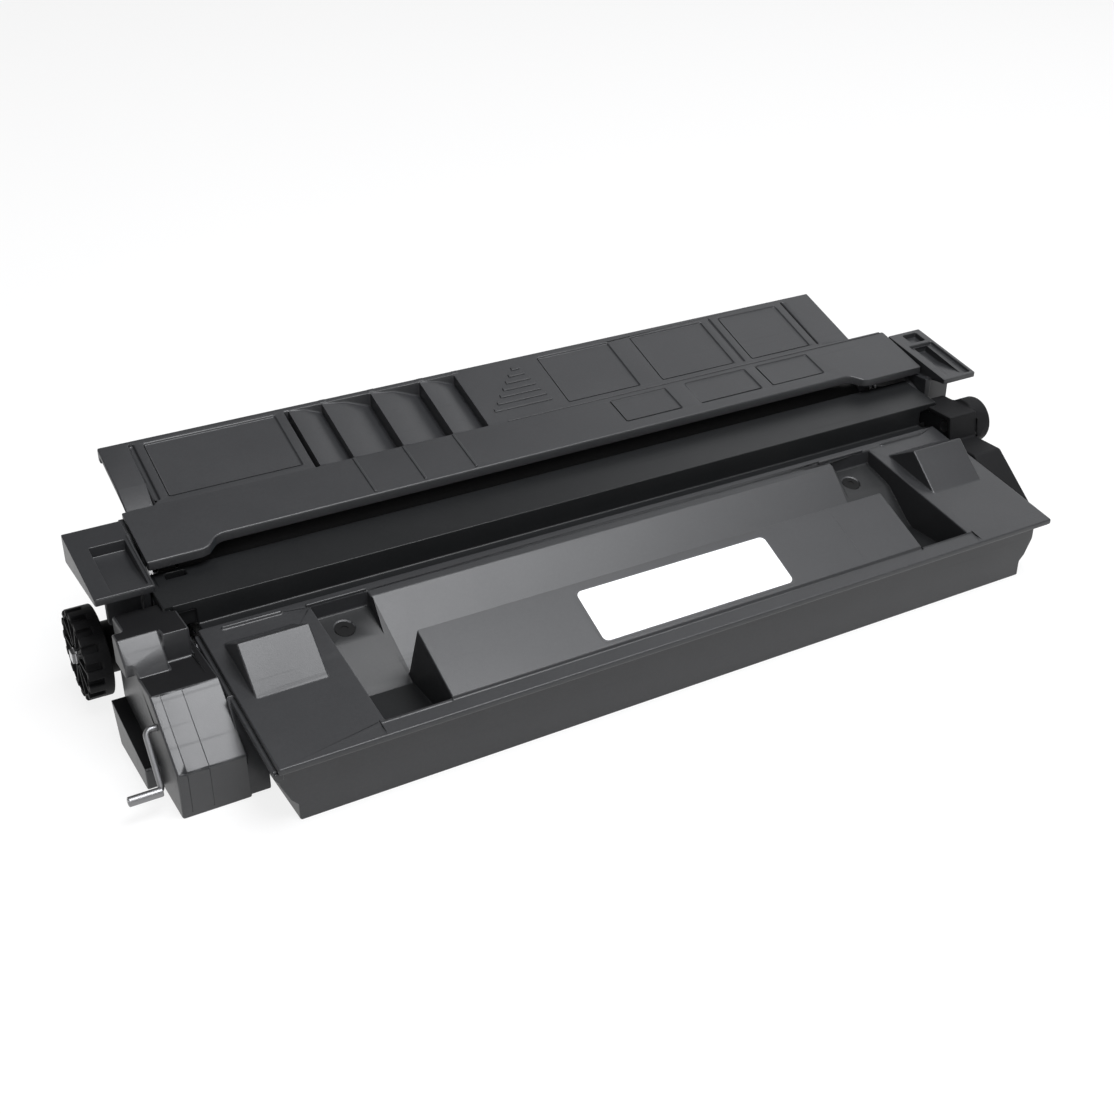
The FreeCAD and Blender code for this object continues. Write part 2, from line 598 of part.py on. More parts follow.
# Cover of the waste bin: plate behind the fold, bar in front of it
def make_waste_bin_cover():
    body = new_body("waste_bin_cover")
    bar_under = d.wall / cos_of(d.bar_slope)
    plate_under = d.wall / cos_of(d.plate_slope)
    bar = [
        (d.bar_front_y, bar_top(d.bar_front_y)),
        (d.crease_y, d.crease_z),
        (d.crease_y, d.crease_z - bar_under),
        (d.bar_mid_y + d.wall, bar_top(d.bar_mid_y + d.wall) - bar_under),
        (d.bar_mid_y + d.wall, bar_top(d.bar_mid_y) - d.lip_drop),
        (d.bar_front_y, bar_top(d.bar_front_y) - d.lip_drop),
    ]
    pad_x(body, bar, d.bar_left_x, d.bar_right_x)
    skirt_y = d.plate_back_y - d.wall
    plate = [
        (d.crease_y, d.crease_z),
        (d.plate_back_y, plate_top(d.plate_back_y)),
        (d.plate_back_y, plate_top(d.plate_back_y) - d.skirt_drop),
        (skirt_y, plate_top(skirt_y) - d.skirt_drop),
        (skirt_y, plate_top(skirt_y) - plate_under),
        (d.crease_y, d.crease_z - bar_under),
    ]
    pad_x(body, plate, d.plate_left_x, d.plate_right_x)
    block_y = d.crease_y - d.grip_rim
    block = [
        (block_y, bar_top(block_y) - bar_under / 2),
        (d.crease_y, d.crease_z - bar_under / 2),
        (d.plate_back_y, plate_top(d.plate_back_y) - plate_under / 2),
        (d.plate_back_y, plate_top(d.plate_back_y) - d.grip_block),
        (block_y, plate_top(block_y) - d.grip_block),
    ]
    pad_x(body, block, d.grip_left_x - d.grip_rim, d.grip_right_x + d.grip_rim)
    # set-back front lip in the middle
    cut_z(body, [
        (d.lip_left_x, d.bar_front_y - 1),
        (d.lip_left_x, d.bar_front_y),
        (d.lip_left_x + d.lip_run * 0.3, d.bar_front_y + (d.bar_mid_y - d.bar_front_y) * 0.16),
        (d.lip_left_x + d.lip_run * 0.7, d.bar_front_y + (d.bar_mid_y - d.bar_front_y) * 0.84),
        (d.lip_left_x + d.lip_run, d.bar_mid_y),
        (d.lip_right_x - d.lip_run, d.bar_mid_y),
        (d.lip_right_x - d.lip_run * 0.7, d.bar_front_y + (d.bar_mid_y - d.bar_front_y) * 0.84),
        (d.lip_right_x - d.lip_run * 0.3, d.bar_front_y + (d.bar_mid_y - d.bar_front_y) * 0.16),
        (d.lip_right_x, d.bar_front_y),
        (d.lip_right_x, d.bar_front_y - 1),
    ], d.crease_z - 20, d.crease_z)
    # finger grip: a slot and four ramps, each falling to the right and ending at a wall
    grip_back_y = d.plate_back_y - d.grip_rim
    back = sketch_on(body, "XZ_Plane", grip_outline(grip_back_y), -grip_back_y, "grip_back")
    front = sketch_on(body, "XZ_Plane", grip_outline(d.crease_y), -d.crease_y, "grip_front")
    loft = body.newObject("PartDesign::SubtractiveLoft", "grip_loft")
    loft.Profile = back
    loft.Sections = [front]
    loft.Ruled = True
    # recessed panels, left bare
    end = d.plate_right_x
    panels = [
        (d.plate_left_x + 16.5, d.grip_left_x - 4),
        (end - 145, end - 110.5),
        (end - 99, end - 62),
        (end - 52.5, end - 21),
    ]
    for index, (left, right) in enumerate(panels):
        low_y = d.crease_y + 2.5
        high_y = d.plate_back_y - 3
        cut_x(body, [
            (low_y, plate_top(low_y) - d.panel_depth),
            (high_y, plate_top(high_y) - d.panel_depth),
            (high_y, plate_top(high_y) + 1),
            (low_y, plate_top(low_y) + 1),
        ], left, right)


def grip_outline(y):
    top = plate_top(y)
    slot_x = d.grip_left_x + d.grip_slot
    walls = [slot_x, d.grip_wall_1, d.grip_wall_2, d.grip_wall_3, d.grip_right_x]
    corners = [
        (d.grip_left_x, top + 2),
        (d.grip_left_x, top - d.grip_slot_depth),
        (slot_x, top - d.grip_slot_depth),
        (slot_x, top),
    ]
    for left, right in zip(walls, walls[1:]):
        fall = (right - left) * tan_of(d.grip_fall)
        corners.append((left + (right - left) * d.grip_bend, top - fall * d.grip_bend / 2))
        corners.append((right, top - fall))
        if right is not d.grip_right_x:
            corners.append((right, top))
    corners.append((d.grip_right_x, top + 2))
    return corners


# Prism along Y with an (X, Z) outline, from y_from to y_to.
def pad_y(body, corners, y_from, y_to):
    number = count_features(body)
    sketch = sketch_on(body, "XZ_Plane", corners, -as_size(y_to), f"{body.Name}_outline{number}")
    pad = body.newObject("PartDesign::Pad", f"{body.Name}_pad{number}")
    pad.Profile = sketch
    bind(pad, "Length", as_size(y_to) - y_from)
    return pad


# End covers of the drum unit with the guide ears
def make_side_cover(label, side):
    body = new_body(label + "_moulding")
    del subparts[label + "_moulding"]
    outer = d.cover_out_x
    width = d.ear_width if side < 0 else d.right_ear_width
    recess = d.ear_recess_width if side < 0 else d.right_recess_width
    ear_back_y = d.ear_front_y + d.ear_length
    ear_in = d.ear_half - width
    floor_front = d.ear_top_z - d.ear_front_drop
    floor_back = ear_top(ear_back_y) - d.ear_back_drop

    def span(low, high):
        return (low, high) if side > 0 else (-as_size(high), -as_size(low))

    plate = [
        (d.drum_y - 20, floor_front),
        (ear_back_y, floor_back),
        (d.bin_front_y, d.drum_z + 10),
        (d.bin_front_y - 2, d.drum_z - 11),
        (d.drum_y + 8, d.wall),
        (d.drum_y - 10, d.wall),
        (d.drum_y - 16, d.drum_z - 11),
        (d.drum_y - 20, d.drum_z + 16),
    ]
    pad_x(body, plate, *span(d.cover_x, outer))
    ear = [
        (d.ear_front_y, d.ear_top_z),
        (ear_back_y, ear_top(ear_back_y)),
        (ear_back_y, floor_back),
        (d.ear_front_y, floor_front),
    ]
    pad_x(body, ear, *span(ear_in, d.ear_half))
    if side > 0:
        # the floor of this ear reaches in over the plate
        web = [
            (d.drum_y - 20, floor_front),
            (ear_back_y, floor_back),
            (ear_back_y, floor_back - d.ear_rim),
            (d.drum_y - 20, floor_front - d.ear_rim),
        ]
        pad_x(body, web, d.cover_x, d.ear_half)
    # gusset under the ear, over the neck of the hub
    gusset_out = d.ear_half - d.ear_rim * 3.5
    corners = [
        (outer - 0.5, d.drum_z + d.hub_neck_r + 3),
        (gusset_out, d.drum_z + d.hub_neck_r + 10),
        (gusset_out, floor_front),
        (outer - 0.5, floor_front),
    ]
    pad_y(body, [(x if side > 0 else -x, z) for x, z in corners], d.drum_y - 18, d.drum_y - 16)
    # recess that the printer's catch drops into
    low_y = d.ear_front_y + d.ear_recess_start
    high_y = low_y + d.ear_recess_length
    low_x = ear_in + d.ear_rim if side < 0 else d.ear_half - d.ear_rim * 3 - recess
    floor = [
        (low_y, ear_top(low_y) - d.ear_recess_depth * 0.25),
        (low_y + d.ear_recess_length * 0.6, ear_top(low_y) - d.ear_recess_depth * 0.25),
        (high_y, ear_top(high_y) - d.ear_recess_depth),
        (high_y, ear_top(high_y) + 1),
        (low_y, ear_top(low_y) + 1),
    ]
    if side < 0:
        span_x = (-d.ear_half + d.ear_rim * 4, -d.ear_half + d.ear_rim * 4 + recess)
    else:
        span_x = (low_x, low_x + recess)
    cut_x(body, floor, *span_x)
    low, high = span(d.cover_x - 1, outer + 1)
    bore = cylinder_x(f"{label}_bore", d.drum_pin_r, low, high, d.drum_y, d.drum_z)
    hole = cylinder_x(f"{label}_hole", d.screw_r, low, high, cover_screw_y, cover_screw_z)
    keep(label, cut(f"{label}_bored", body, fused(f"{label}_holes", [bore, hole])))


# Positioning hub on the drum axis, outside a side cover
def make_hub(label, side):
    disc_in = d.hub_outer_x - d.hub_disc
    disc_out = d.hub_outer_x
    spans = [(d.hub_r, disc_in, disc_out), (d.hub_neck_r, d.cover_out_x, disc_in)]
    if side > 0:
        spans.append((d.hub_neck_r - 1.5, disc_out, d.overall_half))
    rods = []
    for index, (radius, low, high) in enumerate(spans):
        low, high = (low, high) if side > 0 else (-high, -low)
        rods.append(cylinder_x(f"{label}_step{index}", radius, low, high, d.drum_y, d.drum_z))
    solid = fused(f"{label}_solid", rods)
    low, high = (d.cover_out_x - 1, disc_in + 3)
    low, high = (low, high) if side > 0 else (-high, -low)
    pins = [cylinder_x(f"{label}_pin_bore", d.drum_pin_r, low, high, d.drum_y, d.drum_z)]
    # hollow of the disc, with a screw in the middle
    if side < 0:
        ring = cylinder_x(f"{label}_dish", d.hub_r - 2.4, -disc_out - 1, -disc_out + 1.2, d.drum_y, d.drum_z)
        hole = cylinder_x(f"{label}_screw_hole", d.screw_r, -disc_out - 1, -disc_in - 3, d.drum_y, d.drum_z)
        pins += [ring, hole]
    hollows = fused(f"{label}_hollows", pins) if len(pins) > 1 else pins[0]
    keep(label, cut(f"{label}_turned", solid, hollows))


def make_drum_pins():
    low = d.flange_x - d.flange_plug
    high = d.hub_outer_x - d.hub_disc + 3
    left = cylinder_x("drum_pin_left", d.drum_pin_r, -high, -low, d.drum_y, d.drum_z)
    right = cylinder_x("drum_pin_right", d.drum_pin_r, low, high, d.drum_y, d.drum_z)
    group("drum_pins", [left, right])


# A pan-head screw along X: head outside, shank inward. side is where the head points.
def screw_x(name, side, face, y, z, length):
    head_out = as_size(face) + 1.5
    if side > 0:
        head = cylinder_x(f"{name}_head", d.screw_head_r, face, head_out, y, z)
        shank = cylinder_x(f"{name}_shank", d.screw_r, as_size(face) - length, face, y, z)
    else:
        head = cylinder_x(f"{name}_head", d.screw_head_r, -head_out, -as_size(face), y, z)
        shank = cylinder_x(f"{name}_shank", d.screw_r, -as_size(face), length - as_size(face), y, z)
    return fused(name, [head, shank])


# Screw driven along Y into a wall: the head is on the low-Y side.
def screw_y(name, face, x, z, length):
    parts = []
    for part_name, radius, low, high in (
            (f"{name}_head", d.screw_head_r, as_size(face) - 1.4, face),
            (f"{name}_shank", d.screw_r, face, as_size(face) + length)):
        rod = doc.addObject("Part::Cylinder", part_name)
        bind(rod, "Radius", radius)
        bind(rod, "Height", as_size(high) - low)
        rod.Placement = FreeCAD.Placement(
            FreeCAD.Vector(0, 0, 0), FreeCAD.Rotation(FreeCAD.Vector(1, 0, 0), -90))
        bind(rod, "Placement.Base.x", x)
        bind(rod, "Placement.Base.y", low)
        bind(rod, "Placement.Base.z", z)
        parts.append(rod)
    return fused(name, parts)


# Drum: coated tube, flange on the left, gear on the right
def make_drum():
    tube = cut("drum_tube_solid",
               cylinder_x("drum_outside", d.drum_r, -d.drum_half, d.drum_half, d.drum_y, d.drum_z),
               cylinder_x("drum_inside", d.drum_r - d.drum_wall, -d.drum_half - 1, d.drum_half + 1,
                          d.drum_y, d.drum_z))
    keep("drum_tube", tube)
    plug_r = d.drum_r - d.drum_wall
    rim = cylinder_x("flange_rim", d.drum_r + 0.5, -d.flange_x, -d.drum_half, d.drum_y, d.drum_z)
    plug = cylinder_x("flange_plug_rod", plug_r, -d.drum_half, -d.drum_half + d.flange_plug, d.drum_y, d.drum_z)
    bore = cylinder_x("flange_bore", d.drum_pin_r + d.run_fit, -d.flange_x - 1, -d.drum_half + d.flange_plug + 1,
                      d.drum_y, d.drum_z)
    keep("drum_flange", cut("drum_flange_solid", fused("flange_outside", [rim, plug]), bore))
    gear = made_shape("drum_gear_teeth", gear_shape(drum_phase, d.drum_teeth, d.drum_y, d.drum_z), False)
    rim = cylinder_x("gear_rim", d.drum_r + 0.5, d.drum_half, d.gear_x, d.drum_y, d.drum_z)
    plug = cylinder_x("gear_plug_rod", plug_r, d.drum_half - d.flange_plug, d.drum_half, d.drum_y, d.drum_z)
    bore = cylinder_x("gear_bore", d.drum_pin_r + d.run_fit, d.drum_half - d.flange_plug - 1,
                      d.gear_x + d.gear_width + 1, d.drum_y, d.drum_z)
    keep("drum_gear", cut("drum_gear_solid", fused("drum_gear_outside", [gear, rim, plug]), bore))


# Spur gear with straight-flanked teeth, one tooth centred on the phase angle.
def gear_shape(phase, teeth, y, z):
    module = d.gear_module.value
    count = int(round(teeth.value))
    pitch = module * count / 2
    outer = pitch + module
    root = pitch - 1.25 * module
    lean = math.tan(math.radians(20))
    half = (math.pi * module / 2 - d.gear_backlash.value) / 2
    half_tip = half - module * lean * 1.15
    half_root = half + 1.25 * module * lean
    points = []
    for index in range(count):
        middle = math.radians(phase + 360 * index / count)
        for radius, width in ((root, -half_root), (outer, -half_tip), (outer, half_tip), (root, half_root)):
            angle = middle + width / radius
            points.append(FreeCAD.Vector(
                d.gear_x.value, y.value + radius * math.cos(angle), z.value + radius * math.sin(angle)))
    points.append(points[0])
    face = Part.Face(Part.makePolygon(points))
    return face.extrude(FreeCAD.Vector(d.gear_width.value, 0, 0))


# Phase of a gear that meshes with another one, seen along the line of centres.
def meshing_phase(phase, teeth, angle, other_teeth):
    fraction = ((angle - phase) * teeth / 360) % 1
    return angle + 180 + (fraction + 0.5) * 360 / other_teeth


drum_phase = 180 - d.sleeve_angle.value
sleeve_phase = meshing_phase(drum_phase, d.drum_teeth.value, 180 - d.sleeve_angle.value, d.sleeve_teeth.value)
idler_phase = meshing_phase(sleeve_phase, d.sleeve_teeth.value, 180 - d.idler_angle.value, d.idler_teeth.value)
agitator_phase = meshing_phase(
    idler_phase, d.idler_teeth.value, 180 + d.agitator_angle.value, d.agitator_teeth.value)


# Charge roller above the drum, its saddles and springs
def make_charge_roller():
    shaft_half = d.charge_half + d.saddle_width + 3
    shaft = cylinder_x("charge_shaft_rod", d.charge_shaft_r, -shaft_half, shaft_half, charge_y, charge_z)
    keep("charge_shaft", shaft)
    rubber = cut("charge_rubber_solid",
                 cylinder_x("charge_rubber_outside", d.charge_r, -d.charge_half, d.charge_half, charge_y, charge_z),
                 cylinder_x("charge_rubber_bore", d.charge_shaft_r, -d.charge_half - 1, d.charge_half + 1,
                            charge_y, charge_z))
    keep("charge_rubber", rubber)
    saddles = []
    springs = []
    for side, name in ((-1, "left"), (1, "right")):
        low = d.charge_half + 1.2
        high = low + d.saddle_width
        low, high = (low, high) if side > 0 else (-high, -low)
        block = box_at(f"saddle_block_{name}", (low, high), (charge_y - 4.2, charge_y + 4.2),
                       (charge_z - 4, charge_z + 4.9))
        bore = cylinder_x(f"saddle_bore_{name}", d.charge_shaft_r + d.run_fit, low - 1, high + 1,
                          charge_y, charge_z)
        saddles.append(cut(f"saddle_{name}", block, bore))
        coil = doc.addObject("Part::Cylinder", f"charge_coil_{name}")
        bind(coil, "Radius", d.saddle_width / 2 - 0.4)
        bind(coil, "Height", d.bin_roof_z - charge_z - 4.9)
        bind(coil, "Placement.Base.x", (low + high) / 2)
        bind(coil, "Placement.Base.y", charge_y)
        bind(coil, "Placement.Base.z", charge_z + 4.9)
        core = doc.addObject("Part::Cylinder", f"charge_coil_core_{name}")
        bind(core, "Radius", d.saddle_width / 2 - 1.1)
        bind(core, "Height", d.bin_roof_z - charge_z - 4.9)
        bind(core, "Placement.Base.x", (low + high) / 2)
        bind(core, "Placement.Base.y", charge_y)
        bind(core, "Placement.Base.z", charge_z + 4.9)
        springs.append(cut(f"charge_spring_{name}", coil, core))
    group("charge_saddles", saddles)
    group("charge_springs", springs)


# Wiper, its bracket and screws, and the film under the mouth of the waste bin
def make_wiper():
    low_x = wiper_low_x
    high_x = wiper_high_x
    face = d.bin_front_y
    bracket = new_body("wiper_bracket_plate")
    del subparts["wiper_bracket_plate"]
    pad_x(bracket, rectangle(face - 1.4, face, d.mouth_high_z + 4, d.mouth_high_z + 19), low_x, high_x)
    blade = new_body("wiper_blade")
    tip_z = d.drum_z + 6.7
    tip_y = d.drum_y + root_of((d.drum_r + 0.3) * (d.drum_r + 0.3) - 6.7 * 6.7)
    pad_x(blade, [
        (face - 1.4, d.mouth_high_z + 10.5),
        (face - 3.0, d.mouth_high_z + 10.5),
        (tip_y, tip_z),
        (tip_y + 1.6, tip_z),
        (face - 1.4, d.mouth_high_z + 4),
    ], low_x + 2, high_x - 2)
    screws = []
    holes = []
    for index in range(3):
        x = wiper_screw_x(index)
        screws.append(screw_y(f"wiper_screw{index}", face - 1.4, x, wiper_screw_z, 2.4))
        holes.append(screw_hole_y(f"wiper_hole{index}", face - 2, x, wiper_screw_z, 2.2))
    keep("wiper_bracket", cut("wiper_bracket_drilled", bracket, fused("wiper_holes", holes)))
    group("wiper_screws", screws)
    film = new_body("scoop_seal")
    pad_x(film, [
        (face, d.mouth_low_z - 1.8),
        (face, d.mouth_low_z - 1.0),
        (face - 3.0, d.mouth_low_z + 2.2),
        (face - 3.2, d.mouth_low_z + 1.4),
    ], low_x, high_x)


def screw_hole_y(name, y, x, z, length):
    rod = doc.addObject("Part::Cylinder", name)
    bind(rod, "Radius", d.screw_r)
    bind(rod, "Height", length)
    rod.Placement = FreeCAD.Placement(
        FreeCAD.Vector(0, 0, 0), FreeCAD.Rotation(FreeCAD.Vector(1, 0, 0), -90))
    bind(rod, "Placement.Base.x", x)
    bind(rod, "Placement.Base.y", y)
    bind(rod, "Placement.Base.z", z)
    return rod


# Lower half of the hopper: a tub with a flange under the cover
def make_hopper_shell():
    body = new_body("hopper_shell_moulding")
    del subparts["hopper_shell_moulding"]
    t = d.wall / cos_of(d.hopper_slope)

    def under(y):
        return hopper_top(y) - t

    box = [
        (d.box_front_y, 0),
        (d.box_front_y, under(d.box_front_y)),
        (d.hopper_back_y, under(d.hopper_back_y)),
        (d.hopper_back_y, d.chamber_low_z + 1.8),
        (d.box_back_foot_y, 0),
    ]
    pad_x(body, box, -d.box_half, d.box_half)
    front = d.box_front_y - 4
    flange = [
        (front, under(front)),
        (d.hopper_back_y, under(d.hopper_back_y)),
        (d.hopper_back_y, under(d.hopper_back_y) - t),
        (front, under(front) - t),
    ]
    pad_x(body, flange, -d.cap_inner_x, d.cap_inner_x)
    # gussets between the box and the flange, at both ends
    for side in (-1, 1):
        corners = [
            (d.box_half - 0.5, d.wall * 2.5),
            (d.box_half + 2.5, d.wall * 4),
            (d.box_half + 5.6, d.wall * 7),
            (d.box_half + 5.6, under(d.box_front_y) - t / 2),
            (d.box_half - 0.5, under(d.box_front_y) - t / 2),
        ]
        pad_y(body, [(side * x, z) for x, z in corners], d.box_front_y, d.box_front_y + 7)
    front_in = d.box_front_y + d.wall
    back_in = d.hopper_back_y - d.wall
    inside = [
        (front_in, d.wall),
        (front_in, under(front_in) + 3),
        (back_in, under(back_in) + 3),
        (back_in, d.chamber_low_z + 3),
        (d.box_back_foot_y - 1, d.wall),
    ]
    cut_x(body, inside, -d.box_half + d.wall, d.box_half - d.wall)
    # notches that the finger pockets of the cover fill
    for low, high in ((-d.trough_half - d.wall, -d.wedge_half + d.wall),
                      (d.wedge_half - d.wall, d.trough_half + d.wall)):
        cut_x(body, rectangle(d.box_front_y - 1, front_in + 1, notch_z, under(front_in) + 0.1), low, high)
    # opening through which toner reaches the developer chamber
    cut_x(body, rectangle(back_in - 1, d.hopper_back_y + 1, 14, 28), -d.sleeve_half, d.sleeve_half)
    tools = [
        cylinder_x("hopper_fill_hole", 7.5, d.box_half - d.wall - 1, d.box_half + 1,
                   d.box_front_y + 19, 12),
        cylinder_x("hopper_agitator_hole", 3 + d.run_fit, d.box_half - d.wall - 1, d.box_half + 1,
                   agitator_y, agitator_z),
        cylinder_x("hopper_agitator_hole_left", 3 + d.run_fit, -d.box_half - 1, -d.box_half + d.wall + 1,
                   agitator_y, agitator_z),
    ]
    keep("hopper_shell", cut("hopper_shell_bored", body, fused("hopper_holes", tools)))
    plug = fused("fill_plug_solid", [
        cylinder_x("fill_plug_rod", 7.5, d.box_half - d.wall, d.box_half, d.box_front_y + 19, 12),
        cylinder_x("fill_plug_cap", 9.2, d.box_half, d.box_half + 1.6, d.box_front_y + 19, 12),
    ])
    keep("fill_plug", plug)


# Top of the hopper: sloping plate, finger trough, grip wedge and two ramps
def make_hopper_cover():
    body = new_body("hopper_cover")
    t = d.wall / cos_of(d.hopper_slope)
    w = d.wall
    pad_x(body, [
        (d.hopper_lip_y, hopper_top(d.hopper_lip_y)),
        (d.hopper_back_y, hopper_top(d.hopper_back_y)),
        (d.hopper_back_y, hopper_top(d.hopper_back_y) - t),
        (d.hopper_lip_y, hopper_top(d.hopper_lip_y) - t),
    ], -d.hopper_half, d.hopper_half)
    lip = d.hopper_lip_y
    cut_x(body, [
        (d.trough_back_y, hopper_top(d.trough_back_y) + 1),
        (d.trough_front_y, hopper_top(d.trough_front_y) + 1),
        (d.trough_front_y, hopper_top(d.trough_front_y) - t - 1),
        (d.trough_back_y, hopper_top(d.trough_back_y) - t - 1),
    ], -d.trough_half, d.trough_half)
    back = d.trough_back_y
    top_back = hopper_top(back)
    shelf_y = d.slope_top_y - 11.2
    shelf_low_z = hopper_top(d.slope_top_y) - 11.2 * tan_of(d.slope_angle)
    front = d.trough_front_y
    top_front = hopper_top(front)
    slope = [
        (back + 0.6, top_back),
        (back, top_back),
        (d.slope_top_y, hopper_top(d.slope_top_y)),
        (d.valley_y, slope_foot_z),
        (d.valley_y - w * 0.36, slope_foot_z - w * 1.6),
        (d.slope_top_y, hopper_top(d.slope_top_y) - w / cos_of(d.slope_angle)),
        (back + 0.6, hopper_top(back + 0.6) - t),
    ]
    pad_x(body, slope, -d.slope_half, d.slope_half)
    wedge = [
        (d.valley_y, slope_foot_z),
        (d.wedge_top_y, d.wedge_top_z),
        (front, top_front + d.wedge_step),
        (front - 0.6, top_front + d.wedge_step - 0.4),
        (front - 0.6, top_front - t),
        (front + 1, hopper_top(front + 1) - t),
        (d.wedge_top_y - w * 0.55, d.wedge_top_z - w * 1.45),
        (d.valley_y - w * 0.36, slope_foot_z - w * 1.6),
    ]
    pad_x(body, wedge, -d.wedge_half, d.wedge_half)
    floor = d.valley_z
    pocket_back = [
        (back + 0.6, top_back),
        (back, top_back),
        (back, d.shelf_z),
        (shelf_y, shelf_low_z),
        (d.valley_y, slope_foot_z),
        (d.valley_y, slope_foot_z - w * 1.5),
        (shelf_y, shelf_low_z - w * 1.3),
        (back + 0.6, d.shelf_z - w),
    ]
    pocket_front = [
        (d.valley_y, slope_foot_z),
        (d.valley_y - 3.6, floor),
        (front + 10.5, floor),
        (front + 4.5, floor + 2.9),
        (front, top_front),
        (front - 0.6, top_front),
        (d.box_front_y, hopper_top(d.box_front_y) - t),
        (d.box_front_y, notch_z),
        (d.box_front_y + w, notch_z),
        (front + 4.5 + w * 0.4, floor + 2.9 - w),
        (front + 10.5, floor - w),
        (d.valley_y - 3.6, floor - w),
        (d.valley_y, slope_foot_z - w * 1.5),
    ]
    slope_wall = [
        (back + 0.6, top_back),
        (d.slope_top_y, hopper_top(d.slope_top_y)),
        (shelf_y, shelf_low_z),
        (shelf_y, shelf_low_z - w),
        (back + 0.6, d.shelf_z - w),
    ]
    wedge_wall = [
        (d.valley_y, slope_foot_z),
        (d.wedge_top_y, d.wedge_top_z),
        (front, top_front + d.wedge_step),
        (front, top_front - t),
        (d.box_front_y, hopper_top(d.box_front_y) - t),
        (d.box_front_y, notch_z),
        (d.box_front_y + w, notch_z),
        (front + 4.5, floor + 2.9 - w),
        (front + 10.5, floor - w),
        (d.valley_y - 3.6, floor - w),
        (d.valley_y, slope_foot_z - w * 1.5),
    ]
    outer_wall = [
        (back + 0.6, hopper_top(back + 0.6) - t / 2),
        (d.box_front_y, hopper_top(d.box_front_y) - t / 2),
        (d.box_front_y, notch_z),
        (d.box_front_y + w, notch_z),
        (front + 4.5, floor + 2.9 - w),
        (front + 10.5, floor - w),
        (d.valley_y - 3.6, floor - w),
        (shelf_y, shelf_low_z - w * 1.3),
        (back + 0.6, d.shelf_z - w),
    ]
    for side in (-1, 1):

        def span(low, high):
            return (low, high) if side > 0 else (-as_size(high), -as_size(low))

        pad_x(body, pocket_back, *span(d.slope_half, d.trough_half + w))
        pad_x(body, pocket_front, *span(d.wedge_half, d.trough_half + w))
        pad_x(body, slope_wall, *span(d.slope_half - w, d.slope_half))
        pad_x(body, wedge_wall, *span(d.wedge_half - w, d.wedge_half))
        pad_x(body, outer_wall, *span(d.trough_half, d.trough_half + w))
        middle = d.ramp_mid_x * side + d.ramp_shift
        ramp_top = hopper_top(d.ramp_top_y) + d.ramp_rise
        ramp = [
            (d.ramp_back_y, hopper_top(d.ramp_back_y)),
            (d.ramp_top_y, ramp_top),
            (d.ramp_front_y, hopper_top(d.ramp_front_y)),
            (d.ramp_front_y, hopper_top(d.ramp_front_y) - 0.5),
            (d.ramp_back_y, hopper_top(d.ramp_back_y) - 0.5),
        ]
        pad_x(body, ramp, middle - d.ramp_half, middle + d.ramp_half)
        core = [
            (d.ramp_back_y - w * 1.6, hopper_top(d.ramp_back_y) - t - 1),
            (d.ramp_back_y - w * 1.6, hopper_top(d.ramp_back_y) - t / 2),
            (d.ramp_top_y, ramp_top - w * 1.5),
            (d.ramp_front_y + w * 1.6, hopper_top(d.ramp_front_y)),
            (d.ramp_front_y + w * 1.6, hopper_top(d.ramp_front_y) - t - 1),
        ]
        cut_x(body, core, middle - d.ramp_half + w, middle + d.ramp_half - w)
        rib_top = hopper_top(d.rib_y) + d.rib_height
        pad_x(body, [
            (d.rib_y - 0.5, hopper_top(d.rib_y) - 1),
            (d.rib_y - 0.5, rib_top),
            (d.rib_y + 0.5, rib_top),
            (d.rib_y + 0.5, hopper_top(d.rib_y) - 1),
        ], middle - d.ramp_half + 2, middle + d.ramp_half - 2)


def wedge_z(y):
    return d.wedge_top_z + (y - d.wedge_top_y) * wedge_slope


def make_label():
    body = new_body("hopper_label")
    back = d.wedge_top_y - d.label_back * 0.7
    front = back - d.label_depth * 0.9
    pad_x(body, [
        (back, wedge_z(back)),
        (front, wedge_z(front)),
        (front, wedge_z(front) + d.label_thick),
        (back, wedge_z(back) + d.label_thick),
    ], -d.label_half, d.label_half)


